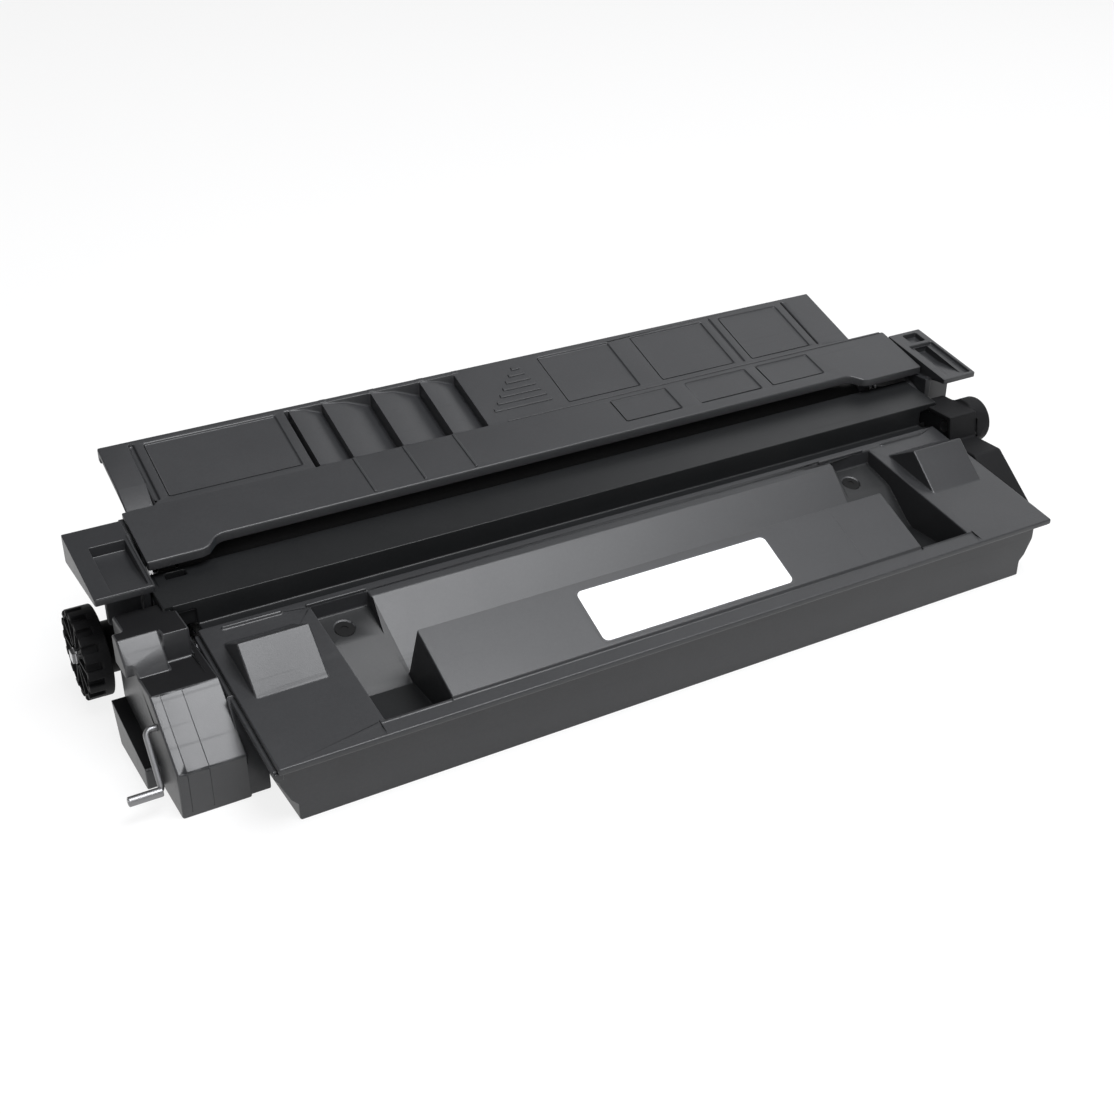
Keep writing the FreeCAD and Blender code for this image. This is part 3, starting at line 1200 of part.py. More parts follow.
# Strip along the top and chamber round the developer sleeve
def make_developer_frame():
    body = new_body("developer_frame_moulding")
    del subparts["developer_frame_moulding"]
    front = d.strip_front_y
    w = d.wall
    under = 3.0
    shelf_z = d.boss_z + 0.3
    wall_in = sleeve_y - sleeve_r - 0.8
    strip = [
        (front, strip_top(front)),
        (d.strip_back_y, strip_top(d.strip_back_y)),
        (d.strip_back_y, strip_top(d.strip_back_y) - under),
        (front, strip_top(front) - under),
    ]
    pad_x(body, strip, -d.strip_half, d.strip_half)
    chamber = [
        (front, strip_top(front) - under / 2),
        (front + w, strip_top(front + w) - under / 2),
        (front + w, shelf_z - 1.2),
        (wall_in, shelf_z - w),
        (wall_in, d.chamber_low_z + 5.8),
        (wall_in + 2.2, d.chamber_low_z + w),
        (d.chamber_lip_y, d.chamber_low_z + w),
        (d.chamber_lip_y, d.chamber_low_z),
        (-1.0, d.chamber_low_z),
        (d.hopper_back_y, d.chamber_low_z + 1.8),
        (d.hopper_back_y, shelf_z),
        (front, shelf_z),
    ]
    pad_x(body, chamber, -d.chamber_half, d.chamber_half)
    cut_x(body, rectangle(d.hopper_back_y - 1, wall_in + 1, 14, 28), -d.sleeve_half, d.sleeve_half)
    end = [
        (d.hopper_back_y, d.chamber_low_z + 1.8),
        (-1.0, d.chamber_low_z),
        (d.chamber_lip_y, d.chamber_low_z),
        (d.chamber_lip_y, d.chamber_low_z + w),
        (sleeve_y + 8.3, sleeve_z - 6),
        (sleeve_y + 8.3, sleeve_z + 4),
        (sleeve_y + 5, sleeve_z + 12),
        (front + w, strip_top(front) - under / 2),
        (front, strip_top(front) - under / 2),
        (front, shelf_z),
        (d.hopper_back_y, shelf_z),
    ]
    inner = d.sleeve_half + d.collar_width + 0.9
    pad_x(body, end, inner, d.chamber_half)
    pad_x(body, end, -d.chamber_half, -inner)
    bores = [
        cylinder_x("bush_hole_right", d.sleeve_journal_r + 2.4, inner - 1, d.chamber_half + 1, sleeve_y, sleeve_z),
        cylinder_x("bush_hole_left", d.sleeve_journal_r + 2.4, -d.chamber_half - 1, -inner + 1, sleeve_y, sleeve_z),
    ]
    for index in range(2):
        bores.append(screw_hole_y(f"doctor_thread{index}", doctor_face_y - 1.4, doctor_screw_x(index),
                                  doctor_top_z - 2, 2.6))
    keep("developer_frame", cut("developer_frame_bored", body, fused("bush_holes", bores)))
    bushes = []
    seals = []
    for side, name in ((-1, "left"), (1, "right")):
        low, high = (inner, d.chamber_half) if side > 0 else (-d.chamber_half, -inner)
        bushes.append(cut(f"sleeve_bush_{name}",
                          cylinder_x(f"bush_outside_{name}", d.sleeve_journal_r + 2.4, low, high, sleeve_y, sleeve_z),
                          cylinder_x(f"bush_bore_{name}", d.sleeve_journal_r + d.run_fit, low - 1, high + 1,
                                     sleeve_y, sleeve_z)))
        seals.append(box_at(f"felt_{name}", (low + 0.4, high - 0.4),
                            (sleeve_y + 8.3, sleeve_y + 9.5), (sleeve_z - 5, sleeve_z + 3)))
    group("sleeve_bushes", bushes)
    group("end_seals", seals)


# Developer sleeve with its journals, spacer collars and gear, round a fixed magnet
def make_sleeve():
    shaft_right = d.gear_x + d.gear_width
    shaft_left = d.chamber_half + 0.8
    outside = fused("sleeve_outside", [
        cylinder_x("sleeve_tube_rod", sleeve_r, -d.sleeve_half, d.sleeve_half, sleeve_y, sleeve_z),
        cylinder_x("sleeve_journal_rod", d.sleeve_journal_r, -shaft_left, shaft_right, sleeve_y, sleeve_z),
    ])
    inside = fused("sleeve_inside", [
        cylinder_x("sleeve_bore", sleeve_r - d.sleeve_wall, -d.sleeve_half + 1.7, d.sleeve_half - 1.7,
                   sleeve_y, sleeve_z),
        cylinder_x("sleeve_shaft_bore", d.magnet_shaft_r + d.run_fit, -shaft_left - 1, shaft_right + 1,
                   sleeve_y, sleeve_z),
    ])
    keep("developer_sleeve", cut("developer_sleeve_solid", outside, inside))
    core_r = sleeve_r - d.sleeve_wall - d.magnet_gap
    magnet = fused("magnet_core_solid", [
        cylinder_x("magnet_rod", core_r, -d.sleeve_half + 2.5, d.sleeve_half - 2.5, sleeve_y, sleeve_z),
        cylinder_x("magnet_shaft_rod", d.magnet_shaft_r, -d.cap_inner_x - d.cap_wall, shaft_right - 0.5,
                   sleeve_y, sleeve_z),
    ])
    keep("magnet_core", magnet)
    collars = []
    for side, name in ((-1, "left"), (1, "right")):
        low, high = (d.sleeve_half, d.sleeve_half + d.collar_width)
        low, high = (low, high) if side > 0 else (-high, -low)
        collars.append(cut(f"collar_{name}",
                           cylinder_x(f"collar_outside_{name}", sleeve_r + d.sleeve_gap / 2, low, high,
                                      sleeve_y, sleeve_z),
                           cylinder_x(f"collar_bore_{name}", d.sleeve_journal_r, low - 1, high + 1,
                                      sleeve_y, sleeve_z)))
    group("sleeve_collars", collars)
    teeth = made_shape("sleeve_gear_teeth", gear_shape(sleeve_phase, d.sleeve_teeth, sleeve_y, sleeve_z), False)
    bore = cylinder_x("sleeve_gear_bore", d.sleeve_journal_r, d.gear_x - 1, shaft_right + 1, sleeve_y, sleeve_z)
    keep("sleeve_gear", cut("sleeve_gear_solid", teeth, bore))


# Metal bracket and rubber blade that meter the toner on the sleeve
def make_doctor():
    face = doctor_face_y
    low_x = -d.sleeve_half
    high_x = d.sleeve_half
    top = doctor_top_z
    bracket = new_body("doctor_bracket_plate")
    del subparts["doctor_bracket_plate"]
    pad_x(bracket, rectangle(face, face + 1.2, d.boss_z - 0.6, top), low_x, high_x)
    rubber = new_body("doctor_blade")
    gap_z = sleeve_z + root_of((sleeve_r + 0.3) * (sleeve_r + 0.3) - 3)
    pad_x(rubber, rectangle(face + 1.2, face + 2.4, gap_z, top - 4), low_x, high_x)
    screws = []
    holes = []
    for index in range(2):
        x = doctor_screw_x(index)
        rod = doc.addObject("Part::Cylinder", f"doctor_screw_head{index}")
        bind(rod, "Radius", 1.6)
        bind(rod, "Height", 1.0)
        rod.Placement = FreeCAD.Placement(
            FreeCAD.Vector(0, 0, 0), FreeCAD.Rotation(FreeCAD.Vector(1, 0, 0), -90))
        bind(rod, "Placement.Base.x", x)
        bind(rod, "Placement.Base.y", face + 1.2)
        bind(rod, "Placement.Base.z", top - 2)
        shank = screw_hole_y(f"doctor_screw_shank{index}", face - 1.4, x, top - 2, 2.6)
        screws.append(fused(f"doctor_screw{index}", [rod, shank]))
        holes.append(screw_hole_y(f"doctor_hole{index}", face - 0.5, x, top - 2, 2.6))
    keep("doctor_bracket", cut("doctor_bracket_drilled", bracket, fused("doctor_holes", holes)))
    group("doctor_screws", screws)


# Stirrer in the hopper and the gears that drive it
def make_agitator():
    shaft_right = d.gear_x + d.gear_width
    shaft = cylinder_x("agitator_rod", 3.0, -d.box_half - 1, shaft_right, agitator_y, agitator_z)
    flat = box_at("agitator_flat", (-d.box_half + 8, d.box_half - 8), (agitator_y + 1, agitator_y + 4),
                  (agitator_z - 4, agitator_z + 4))
    keep("agitator_shaft", cut("agitator_shaft_solid", shaft, flat))
    blade = new_body("agitator_blade")
    pad_x(blade, rectangle(agitator_y + 1, agitator_y + 1.4, agitator_z - 8.5, agitator_z + 2),
          -d.box_half + 9, d.box_half - 9)
    teeth = made_shape(
        "agitator_gear_teeth", gear_shape(agitator_phase, d.agitator_teeth, agitator_y, agitator_z), False)
    bore = cylinder_x("agitator_gear_bore", 3.0, d.gear_x - 1, shaft_right + 1, agitator_y, agitator_z)
    keep("agitator_gear", cut("agitator_gear_solid", teeth, bore))
    teeth = made_shape("idler_gear_teeth", gear_shape(idler_phase, d.idler_teeth, idler_y, idler_z), False)
    bore = cylinder_x("idler_gear_bore", 2.0 + d.run_fit, d.gear_x - 1, shaft_right + 1, idler_y, idler_z)
    keep("idler_gear", cut("idler_gear_solid", teeth, bore))
    stud = cylinder_x("idler_stud_rod", 2.0, d.gear_x - 0.2, d.right_cap_x, idler_y, idler_z)
    keep("idler_stud", stud)


# End caps of the developer unit
def cap_outline(top):
    return [
        (d.lug_front_y, 0),
        (d.lug_front_y, d.lug_low_z),
        (d.lug_top_y, d.lug_top_z),
    ] + top + [
        (d.cap_back_y, d.cap_top_z),
        (d.cap_back_y, d.lug_low_z - 2),
        (d.cap_back_y - 6, 0),
    ]


def cap_hollow(top):
    w = d.cap_wall
    return [
        (d.lug_front_y + w, w),
        (d.lug_front_y + w, d.lug_low_z - w * 0.5),
        (d.lug_top_y + w * 0.4, d.lug_top_z - w),
    ] + top + [
        (d.cap_back_y + 1, d.cap_top_z - w),
        (d.cap_back_y + 1, w),
    ]


def make_end_caps():
    w = d.cap_wall
    left = new_body("left_end_cap_moulding")
    del subparts["left_end_cap_moulding"]
    # low part over the whole width, a dome at its outer side, and a block over the tongue
    low_part = [
        (d.lug_front_y, 0),
        (d.lug_front_y, d.lug_low_z),
        (d.lug_top_y, d.lug_top_z),
        (d.cap_back_y, d.lug_top_z),
        (d.cap_back_y, d.lug_low_z - 2),
        (d.cap_back_y - 6, 0),
    ]
    dome = [
        (d.cap_step_y - 2, d.lug_top_z - 1),
        (d.cap_step_y - 2, d.lug_top_z),
        (d.cap_step_y, d.lug_top_z + 4),
        (d.cap_step_y + 7, d.cap_top_z),
        (d.cap_back_y, d.cap_top_z),
        (d.cap_back_y, d.lug_top_z - 1),
    ]
    dome_in = d.lug_outer_x - d.dome_width
    block_front = d.boss_y - tongue_r - d.seat_gap - w
    pad_x(left, low_part, -d.lug_outer_x, -d.cap_inner_x)
    pad_x(left, dome, -d.lug_outer_x, -dome_in)
    pad_x(left, rectangle(block_front, d.cap_back_y, d.lug_top_z - 1, d.cap_top_z), -dome_in, -pin_wall_x + w)
    low_room = [
        (d.lug_front_y + w, w),
        (d.lug_front_y + w, d.lug_low_z - w * 0.5),
        (d.lug_top_y + w * 0.4, d.lug_top_z - w),
        (d.cap_back_y + 1, d.lug_top_z - w),
        (d.cap_back_y + 1, w),
    ]
    dome_room = [
        (d.cap_step_y + w * 0.7, d.lug_top_z - w - 1),
        (d.cap_step_y + w * 0.7, d.lug_top_z + 3),
        (d.cap_step_y + 8, d.cap_top_z - w),
        (d.cap_back_y + 1, d.cap_top_z - w),
        (d.cap_back_y + 1, d.lug_top_z - w - 1),
    ]
    tongue_room = rectangle(block_front + w, d.cap_back_y + 1, d.lug_top_z - w - 1, d.cap_top_z - w)
    cut_x(left, low_room, -d.lug_outer_x + w, -d.cap_inner_x - w)
    cut_x(left, dome_room, -d.lug_outer_x + w, -dome_in - w)
    cut_x(left, tongue_room, -dome_in - w - 0.5, -pin_wall_x)
    strip_room = rectangle(d.strip_front_y - d.seat_gap, d.cap_back_y + 1,
                           strip_top(d.strip_front_y) - 3 - d.seat_gap, d.cap_top_z + 1)
    cut_x(left, strip_room, -d.strip_half - d.seat_gap, -d.cap_inner_x + 1)
    # outer flange of the cap, low at the back
    low = [
        (-31.0, 0),
        (-31.0, 8.0),
        (d.cap_back_y - 1.6, d.lug_low_z - 2),
        (d.cap_back_y - 7, 0),
    ]
    pad_x(left, low, -d.plate_out_x, -d.lug_outer_x + w)
    facet = [
        (d.cap_step_y, d.lug_top_z + 4),
        (d.cap_step_y + 7, d.cap_top_z),
        (d.cap_step_y + 12, d.cap_top_z),
        (d.cap_step_y + 12, d.lug_top_z),
        (d.cap_step_y, d.lug_top_z),
    ]
    pad_x(left, facet, -d.plate_out_x + 1.8, -d.lug_outer_x + w)
    boss = cylinder_x("magnet_boss", 6.0, -d.cap_inner_x - w, -d.cap_inner_x, sleeve_y, sleeve_z)
    solid = fused("left_end_cap_joined", [left, boss])
    holes = [
        cylinder_x("left_wire_bore", d.wire_r + d.run_fit, -d.lug_outer_x - 1, -d.cap_inner_x + 1,
                   d.pivot_y, d.pivot_z),
        cylinder_x("magnet_seat", d.magnet_shaft_r, -d.cap_inner_x - w - 1, -d.cap_inner_x + 1, sleeve_y, sleeve_z),
        cylinder_x("left_pin_hole", d.pin_r, -pin_wall_x - 1, -pin_wall_x + w + 1, d.boss_y, d.boss_z),
    ]
    keep("left_end_cap", cut("left_end_cap_bored", solid, fused("left_cap_holes", holes)))

    right_top = [(d.boss_y - d.boss_r, d.lug_top_z), (d.boss_y - d.boss_r + 1.5, d.cap_top_z)]
    right_in = [(d.boss_y - d.boss_r + w, d.lug_top_z - w), (d.boss_y - d.boss_r + 1.5 + w, d.cap_top_z - w)]
    right = new_body("right_end_cap_moulding")
    del subparts["right_end_cap_moulding"]
    pad_x(right, cap_outline(right_top), d.cap_inner_x, d.right_cap_x)
    cut_x(right, cap_hollow(right_in), d.cap_inner_x - 1, d.right_cap_x - w)
    cut_x(right, strip_room, d.cap_inner_x - 1, d.strip_half + d.seat_gap)
    boss = cylinder_x("pivot_boss", d.boss_r, d.right_cap_x, d.boss_x, d.boss_y, d.boss_z)
    solid = fused("right_end_cap_joined", [right, boss])
    holes = [
        cylinder_x("right_wire_bore", d.wire_r + d.run_fit, d.right_cap_x - w - 1, d.right_cap_x + 1,
                   d.pivot_y, d.pivot_z),
        cylinder_x("idler_stud_hole", 2.0, d.right_cap_x - w - 1, d.right_cap_x + 1, idler_y, idler_z),
        cylinder_x("right_pin_hole", d.pin_r, d.right_cap_x - w - 1, d.boss_x + 1, d.boss_y, d.boss_z),
    ]
    keep("right_end_cap", cut("right_end_cap_bored", solid, fused("right_cap_holes", holes)))
    pins = [
        cylinder_x("section_pin_left", d.pin_r, -d.cover_x - 3, -pin_wall_x + w, d.boss_y, d.boss_z),
        cylinder_x("section_pin_right", d.pin_r, d.arm_x, d.boss_x, d.boss_y, d.boss_z),
    ]
    group("section_pins", pins)


# Shutter under the drum, on two bent wires that turn in the end caps
def make_shutter():
    half = d.shutter_half.value
    y, z = d.drum_y.value, d.drum_z.value
    radius_in = d.drum_r.value + d.shutter_gap.value
    radius_out = radius_in + d.shutter_thick.value
    front = 180 + d.shutter_front.value
    seam = 180 + d.shutter_seam.value
    back = 360 - d.shutter_back.value

    def at(radius, angle):
        turn = math.radians(angle)
        return FreeCAD.Vector(-half, y + radius * math.cos(turn), z + radius * math.sin(turn))

    def shell(low, high):
        middle = (low + high) / 2
        edges = [
            Part.Arc(at(radius_in, low), at(radius_in, middle), at(radius_in, high)).toShape(),
            Part.makeLine(at(radius_in, high), at(radius_out, high)),
            Part.Arc(at(radius_out, high), at(radius_out, middle), at(radius_out, low)).toShape(),
            Part.makeLine(at(radius_out, low), at(radius_in, low)),
        ]
        return Part.Face(Part.Wire(edges)).extrude(FreeCAD.Vector(2 * half, 0, 0))

    panel = shell(front, seam)
    lug_turn = math.radians(180 + d.shutter_lug.value)
    end_y = y + (radius_out + 1.2) * math.cos(lug_turn)
    end_z = z + (radius_out + 1.2) * math.sin(lug_turn)
    lug = d.wire_r.value * 3.5
    lug_length = 14
    for low in (-half, half - lug_length):
        block = Part.makeBox(lug_length, lug, lug, FreeCAD.Vector(low, end_y - lug / 2, end_z - lug / 2))
        panel = panel.fuse(block)
    drum_room = Part.makeCylinder(radius_in, 2 * half + 2, FreeCAD.Vector(-half - 1, y, z), FreeCAD.Vector(1, 0, 0))
    panel = panel.cut(drum_room).removeSplitter()
    left = wire_shape([
        (-d.overall_half.value, d.pin_y.value, d.pin_z.value),
        (-d.wire_out_x.value, d.pin_y.value, d.pin_z.value),
        (-d.wire_out_x.value, d.pivot_y.value, d.pivot_z.value),
        (-d.wire_in_x.value, d.pivot_y.value, d.pivot_z.value),
        (-d.wire_in_x.value, d.pivot_y.value + 22, d.pivot_z.value),
        (-d.wire_in_x.value, end_y, end_z),
        (-half + lug_length - 2, end_y, end_z),
    ])
    right = wire_shape([
        (d.right_cap_x.value, d.pivot_y.value, d.pivot_z.value),
        (d.wire_in_x.value, d.pivot_y.value, d.pivot_z.value),
        (d.wire_in_x.value, d.pivot_y.value + 22, d.pivot_z.value),
        (d.wire_in_x.value, end_y, end_z),
        (half - lug_length + 2, end_y, end_z),
    ])
    made_shape("shutter_panel", panel.cut(left).cut(right))
    made_shape("shutter_rear_panel", shell(seam, back))
    made_shape("shutter_wire_left", left)
    made_shape("shutter_wire_right", right)


# Round wire along straight runs, with every corner bent to a small radius.
def wire_shape(points):
    bend = d.wire_r.value * 1.9
    corners = [FreeCAD.Vector(*p) for p in points]
    edges = []
    here = corners[0]
    for before, corner, after in zip(corners, corners[1:], corners[2:]):
        into = (corner - before).normalize()
        out = (after - corner).normalize()
        turn = into.getAngle(out)
        back = bend * math.tan(turn / 2)
        start = corner - into * back
        stop = corner + out * back
        side = (out - into * into.dot(out)).normalize()
        centre = start + side * bend
        middle = centre + ((start - centre) + (stop - centre)).normalize() * bend
        edges.append(Part.LineSegment(here, start).toShape())
        edges.append(Part.Arc(start, middle, stop).toShape())
        here = stop
    edges.append(Part.LineSegment(here, corners[-1]).toShape())
    spine = Part.Wire(edges)
    direction = (corners[1] - corners[0]).normalize()
    profile = Part.Wire(Part.makeCircle(d.wire_r.value, corners[0], direction))
    return spine.makePipeShell([profile], True, False)


# Spring round the wire, contacts and small screws
def make_small_parts():
    ring = cut("shutter_spring_coil",
               cylinder_x("spring_outside", d.wire_r + 1.1, -d.lug_outer_x + d.cap_wall + 1,
                          -d.cap_inner_x - d.cap_wall, d.pivot_y, d.pivot_z),
               cylinder_x("spring_inside", d.wire_r + 0.4, -d.lug_outer_x, -d.cap_inner_x,
                          d.pivot_y, d.pivot_z))
    keep("shutter_spring", ring)
    out = d.cover_out_x
    screws = [
        screw_x("cover_screw_left", -1, out, cover_screw_y, cover_screw_z, 5),
        screw_x("cover_screw_right", 1, out, cover_screw_y, cover_screw_z, 5),
    ]
    group("cover_screws", screws)
    hub = screw_x("hub_screw", -1, d.hub_outer_x - 1.2, d.drum_y, d.drum_z, 4)
    keep("hub_screws", hub)
    contact = box_at("bias_contact_plate", (-out - 0.4, -out), (d.drum_y + 12.5, d.drum_y + 17), (d.drum_z + 6.5, d.drum_z + 16.5))
    keep("bias_contact", contact)
    ground = cut("ground_strip",
                 box_at("ground_plate", (-d.arm_x, -d.arm_x + 0.5), (d.drum_y - 5, d.drum_y + 5),
                        (d.drum_z - 5, d.drum_z + 14)),
                 cylinder_x("ground_bore", d.drum_pin_r, -d.arm_x - 1, -d.arm_x + 1, d.drum_y, d.drum_z))
    keep("drum_ground_contact", ground)


make_waste_bin()
make_waste_bin_cover()
make_side_cover("left_side_cover", -1)
make_side_cover("right_side_cover", 1)
make_hub("left_hub", -1)
make_hub("right_hub", 1)
make_drum_pins()
make_drum()
make_charge_roller()
make_wiper()
make_hopper_shell()
make_hopper_cover()
make_label()
make_developer_frame()
make_sleeve()
make_doctor()
make_agitator()
make_end_caps()
make_shutter()
make_small_parts()
doc.recompute()


def check_and_export():
    bad = []
    for thing in doc.Objects:
        if "Invalid" in thing.State or "Error" in thing.State:
            bad.append(f"{thing.Name} {thing.State}")
    for label, thing in subparts.items():
        shape = thing.Shape
        if shape.isNull() or not shape.isValid() or not shape.Solids:
            bad.append(f"{label} has no valid solid")
    if bad:
        sys.exit("; ".join(bad))
    os.makedirs("parts", exist_ok=True)
    for label, thing in subparts.items():
        thing.Shape.exportStep(os.path.join("parts", f"{label}.step"))
        print(label, len(thing.Shape.Solids), round(thing.Shape.Volume))


check_and_export()
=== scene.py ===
import bpy
import bmesh
import json
import math
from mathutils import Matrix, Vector
from mathutils.bvhtree import BVHTree


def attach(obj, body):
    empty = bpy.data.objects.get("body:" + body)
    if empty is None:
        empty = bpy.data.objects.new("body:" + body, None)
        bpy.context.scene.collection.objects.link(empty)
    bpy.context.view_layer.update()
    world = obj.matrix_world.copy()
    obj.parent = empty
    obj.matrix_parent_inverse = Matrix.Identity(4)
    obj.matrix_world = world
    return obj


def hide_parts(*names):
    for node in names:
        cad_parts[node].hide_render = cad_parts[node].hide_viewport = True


# Toner cartridge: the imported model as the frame, its mouldings dressed with rounded
# edges, grooves and ribs, and every finish made from nodes.

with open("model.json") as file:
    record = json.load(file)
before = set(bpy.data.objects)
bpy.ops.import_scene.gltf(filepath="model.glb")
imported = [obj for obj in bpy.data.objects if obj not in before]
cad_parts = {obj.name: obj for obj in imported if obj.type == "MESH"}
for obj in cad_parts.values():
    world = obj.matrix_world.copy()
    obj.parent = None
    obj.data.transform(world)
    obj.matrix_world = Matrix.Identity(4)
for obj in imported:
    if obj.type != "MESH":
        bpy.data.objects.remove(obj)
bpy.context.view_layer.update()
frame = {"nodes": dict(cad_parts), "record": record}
nodes = frame["nodes"]
bodyOf = {node: body for body, names in frame["record"]["behaviour"]["bodies"].items() for node in names}
scene = bpy.context.scene
mm = 0.001
print("frame loaded:", len(nodes), "nodes")


# small helpers for edit-mode work
def deselectAll():
    if bpy.context.object and bpy.context.object.mode != "OBJECT":
        bpy.ops.object.mode_set(mode="OBJECT")
    bpy.ops.object.select_all(action="DESELECT")


def activate(piece):
    deselectAll()
    piece.select_set(True)
    bpy.context.view_layer.objects.active = piece


def editAll(piece):
    activate(piece)
    bpy.ops.object.mode_set(mode="EDIT")
    bpy.ops.mesh.select_all(action="SELECT")


def leaveEdit():
    bpy.ops.object.mode_set(mode="OBJECT")


def applyAll(piece):
    activate(piece)
    for modifier in list(piece.modifiers):
        bpy.ops.object.modifier_apply(modifier=modifier.name)


def settle(piece):
    # place goes into the mesh, as in a CAD node
    activate(piece)
    bpy.ops.object.transform_apply(location=True, rotation=True, scale=True)
    return piece


def seat(piece, body, material):
    piece.data.materials.clear()
    piece.data.materials.append(material)
    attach(piece, body)
    return piece


# the cartridge's own slopes, in millimetres, as part.py has them
slopes = {
    "creaseY": 45.0, "creaseZ": 63.8, "plate": 20.0, "bar": 15.3,
    "lipY": -77.2, "lipZ": 26.6, "hopper": 10.2,
    "ridgeY": -45.0, "ridgeZ": 40.6, "wedgeFootY": -70.5, "wedgeFootRise": 1.0,
    "stripY": 1.0, "stripZ": 47.0, "strip": 7.4,
    "earY": 4.0, "earZ": 55.0, "ear": 11.3,
}


def slopeTop(y, start, angle):
    return slopes[start + "Z"] + (y - slopes[start + "Y"]) * math.tan(math.radians(slopes[angle]))


def plateTop(y):
    return slopeTop(y, "crease", "plate")


def barTop(y):
    return slopeTop(y, "crease", "bar")


def hopperTop(y):
    return slopeTop(y, "lip", "hopper")


def stripTop(y):
    return slopeTop(y, "strip", "strip")


def wedgeTop(y):
    foot = hopperTop(slopes["wedgeFootY"]) + slopes["wedgeFootRise"]
    rise = (slopes["ridgeZ"] - foot) / (slopes["ridgeY"] - slopes["wedgeFootY"])
    return slopes["ridgeZ"] + (y - slopes["ridgeY"]) * rise


def earTop(y):
    return slopeTop(y, "ear", "ear")


# shader node groups that several finishes share
def makeGroup(name, inputs, outputs):
    group = bpy.data.node_groups.new(name, "ShaderNodeTree")
    for label, kind, value in inputs:
        socket = group.interface.new_socket(name=label, in_out="INPUT", socket_type=kind)
        if value is not None:
            socket.default_value = value
    for label, kind in outputs:
        group.interface.new_socket(name=label, in_out="OUTPUT", socket_type=kind)
    return group, group.nodes.new("NodeGroupInput"), group.nodes.new("NodeGroupOutput")


def join(tree, source, target):
    tree.links.new(source, target)


def addNode(tree, kind, **values):
    node = tree.nodes.new(kind)
    for key, value in values.items():
        if key in node.inputs:
            node.inputs[key].default_value = value
        else:
            setattr(node, key, value)
    return node


def makeMouldGrain():
    # spark-eroded texture of a moulding: fine pits, with a slow change of depth
    group, put, out = makeGroup("mouldGrain", [
        ("Vector", "NodeSocketVector", None),
        ("Pits per metre", "NodeSocketFloat", 2600.0),
        ("Depth", "NodeSocketFloat", 0.5),
    ], [("Height", "NodeSocketFloat"), ("Fleck", "NodeSocketFloat")])
    fine = addNode(group, "ShaderNodeTexNoise", Detail=3.0, Roughness=0.6)
    cells = addNode(group, "ShaderNodeTexVoronoi")
    broad = addNode(group, "ShaderNodeTexNoise", Scale=38.0, Detail=2.0)
    for texture in (fine, cells, broad):
        join(group, put.outputs["Vector"], texture.inputs["Vector"])
    join(group, put.outputs["Pits per metre"], fine.inputs["Scale"])
    join(group, put.outputs["Pits per metre"], cells.inputs["Scale"])
    mixPits = addNode(group, "ShaderNodeMath", operation="MULTIPLY_ADD")
    mixPits.inputs[1].default_value = 0.6
    join(group, cells.outputs["Distance"], mixPits.inputs[0])
    join(group, fine.outputs["Fac"], mixPits.inputs[2])
    deepen = addNode(group, "ShaderNodeMath", operation="MULTIPLY")
    join(group, mixPits.outputs[0], deepen.inputs[0])
    join(group, put.outputs["Depth"], deepen.inputs[1])
    join(group, deepen.outputs[0], out.inputs["Height"])
    join(group, broad.outputs["Fac"], out.inputs["Fleck"])
    return group


def makeHandling():
    # where hands and packing have rubbed: slow patches and hair scratches, out as roughness
    group, put, out = makeGroup("handling", [
        ("Vector", "NodeSocketVector", None),
        ("Roughness", "NodeSocketFloat", 0.42),
        ("Patches", "NodeSocketFloat", 0.1),
        ("Scratches", "NodeSocketFloat", 0.06),
    ], [("Roughness", "NodeSocketFloat"), ("Rub", "NodeSocketFloat")])
    patch = addNode(group, "ShaderNodeTexNoise", Scale=26.0, Detail=4.0, Roughness=0.55)
    stretch = addNode(group, "ShaderNodeMapping")
    stretch.inputs["Scale"].default_value = (14.0, 420.0, 420.0)
    stretch.inputs["Rotation"].default_value = (0.0, 0.0, 0.35)
    scratch = addNode(group, "ShaderNodeTexNoise", Scale=1.0, Detail=1.0)
    join(group, put.outputs["Vector"], patch.inputs["Vector"])
    join(group, put.outputs["Vector"], stretch.inputs["Vector"])
    join(group, stretch.outputs["Vector"], scratch.inputs["Vector"])
    thin = addNode(group, "ShaderNodeMapRange")
    thin.inputs["From Min"].default_value = 0.66
    thin.inputs["From Max"].default_value = 0.72
    join(group, scratch.outputs["Fac"], thin.inputs["Value"])
    centre = addNode(group, "ShaderNodeMath", operation="SUBTRACT")
    centre.inputs[1].default_value = 0.5
    join(group, patch.outputs["Fac"], centre.inputs[0])
    scaled = addNode(group, "ShaderNodeMath", operation="MULTIPLY_ADD")
    join(group, centre.outputs[0], scaled.inputs[0])
    join(group, put.outputs["Patches"], scaled.inputs[1])
    join(group, put.outputs["Roughness"], scaled.inputs[2])
    marked = addNode(group, "ShaderNodeMath", operation="MULTIPLY_ADD")
    join(group, thin.outputs["Result"], marked.inputs[0])
    join(group, put.outputs["Scratches"], marked.inputs[1])
    join(group, scaled.outputs[0], marked.inputs[2])
    join(group, marked.outputs[0], out.inputs["Roughness"])
    join(group, thin.outputs["Result"], out.inputs["Rub"])
    return group


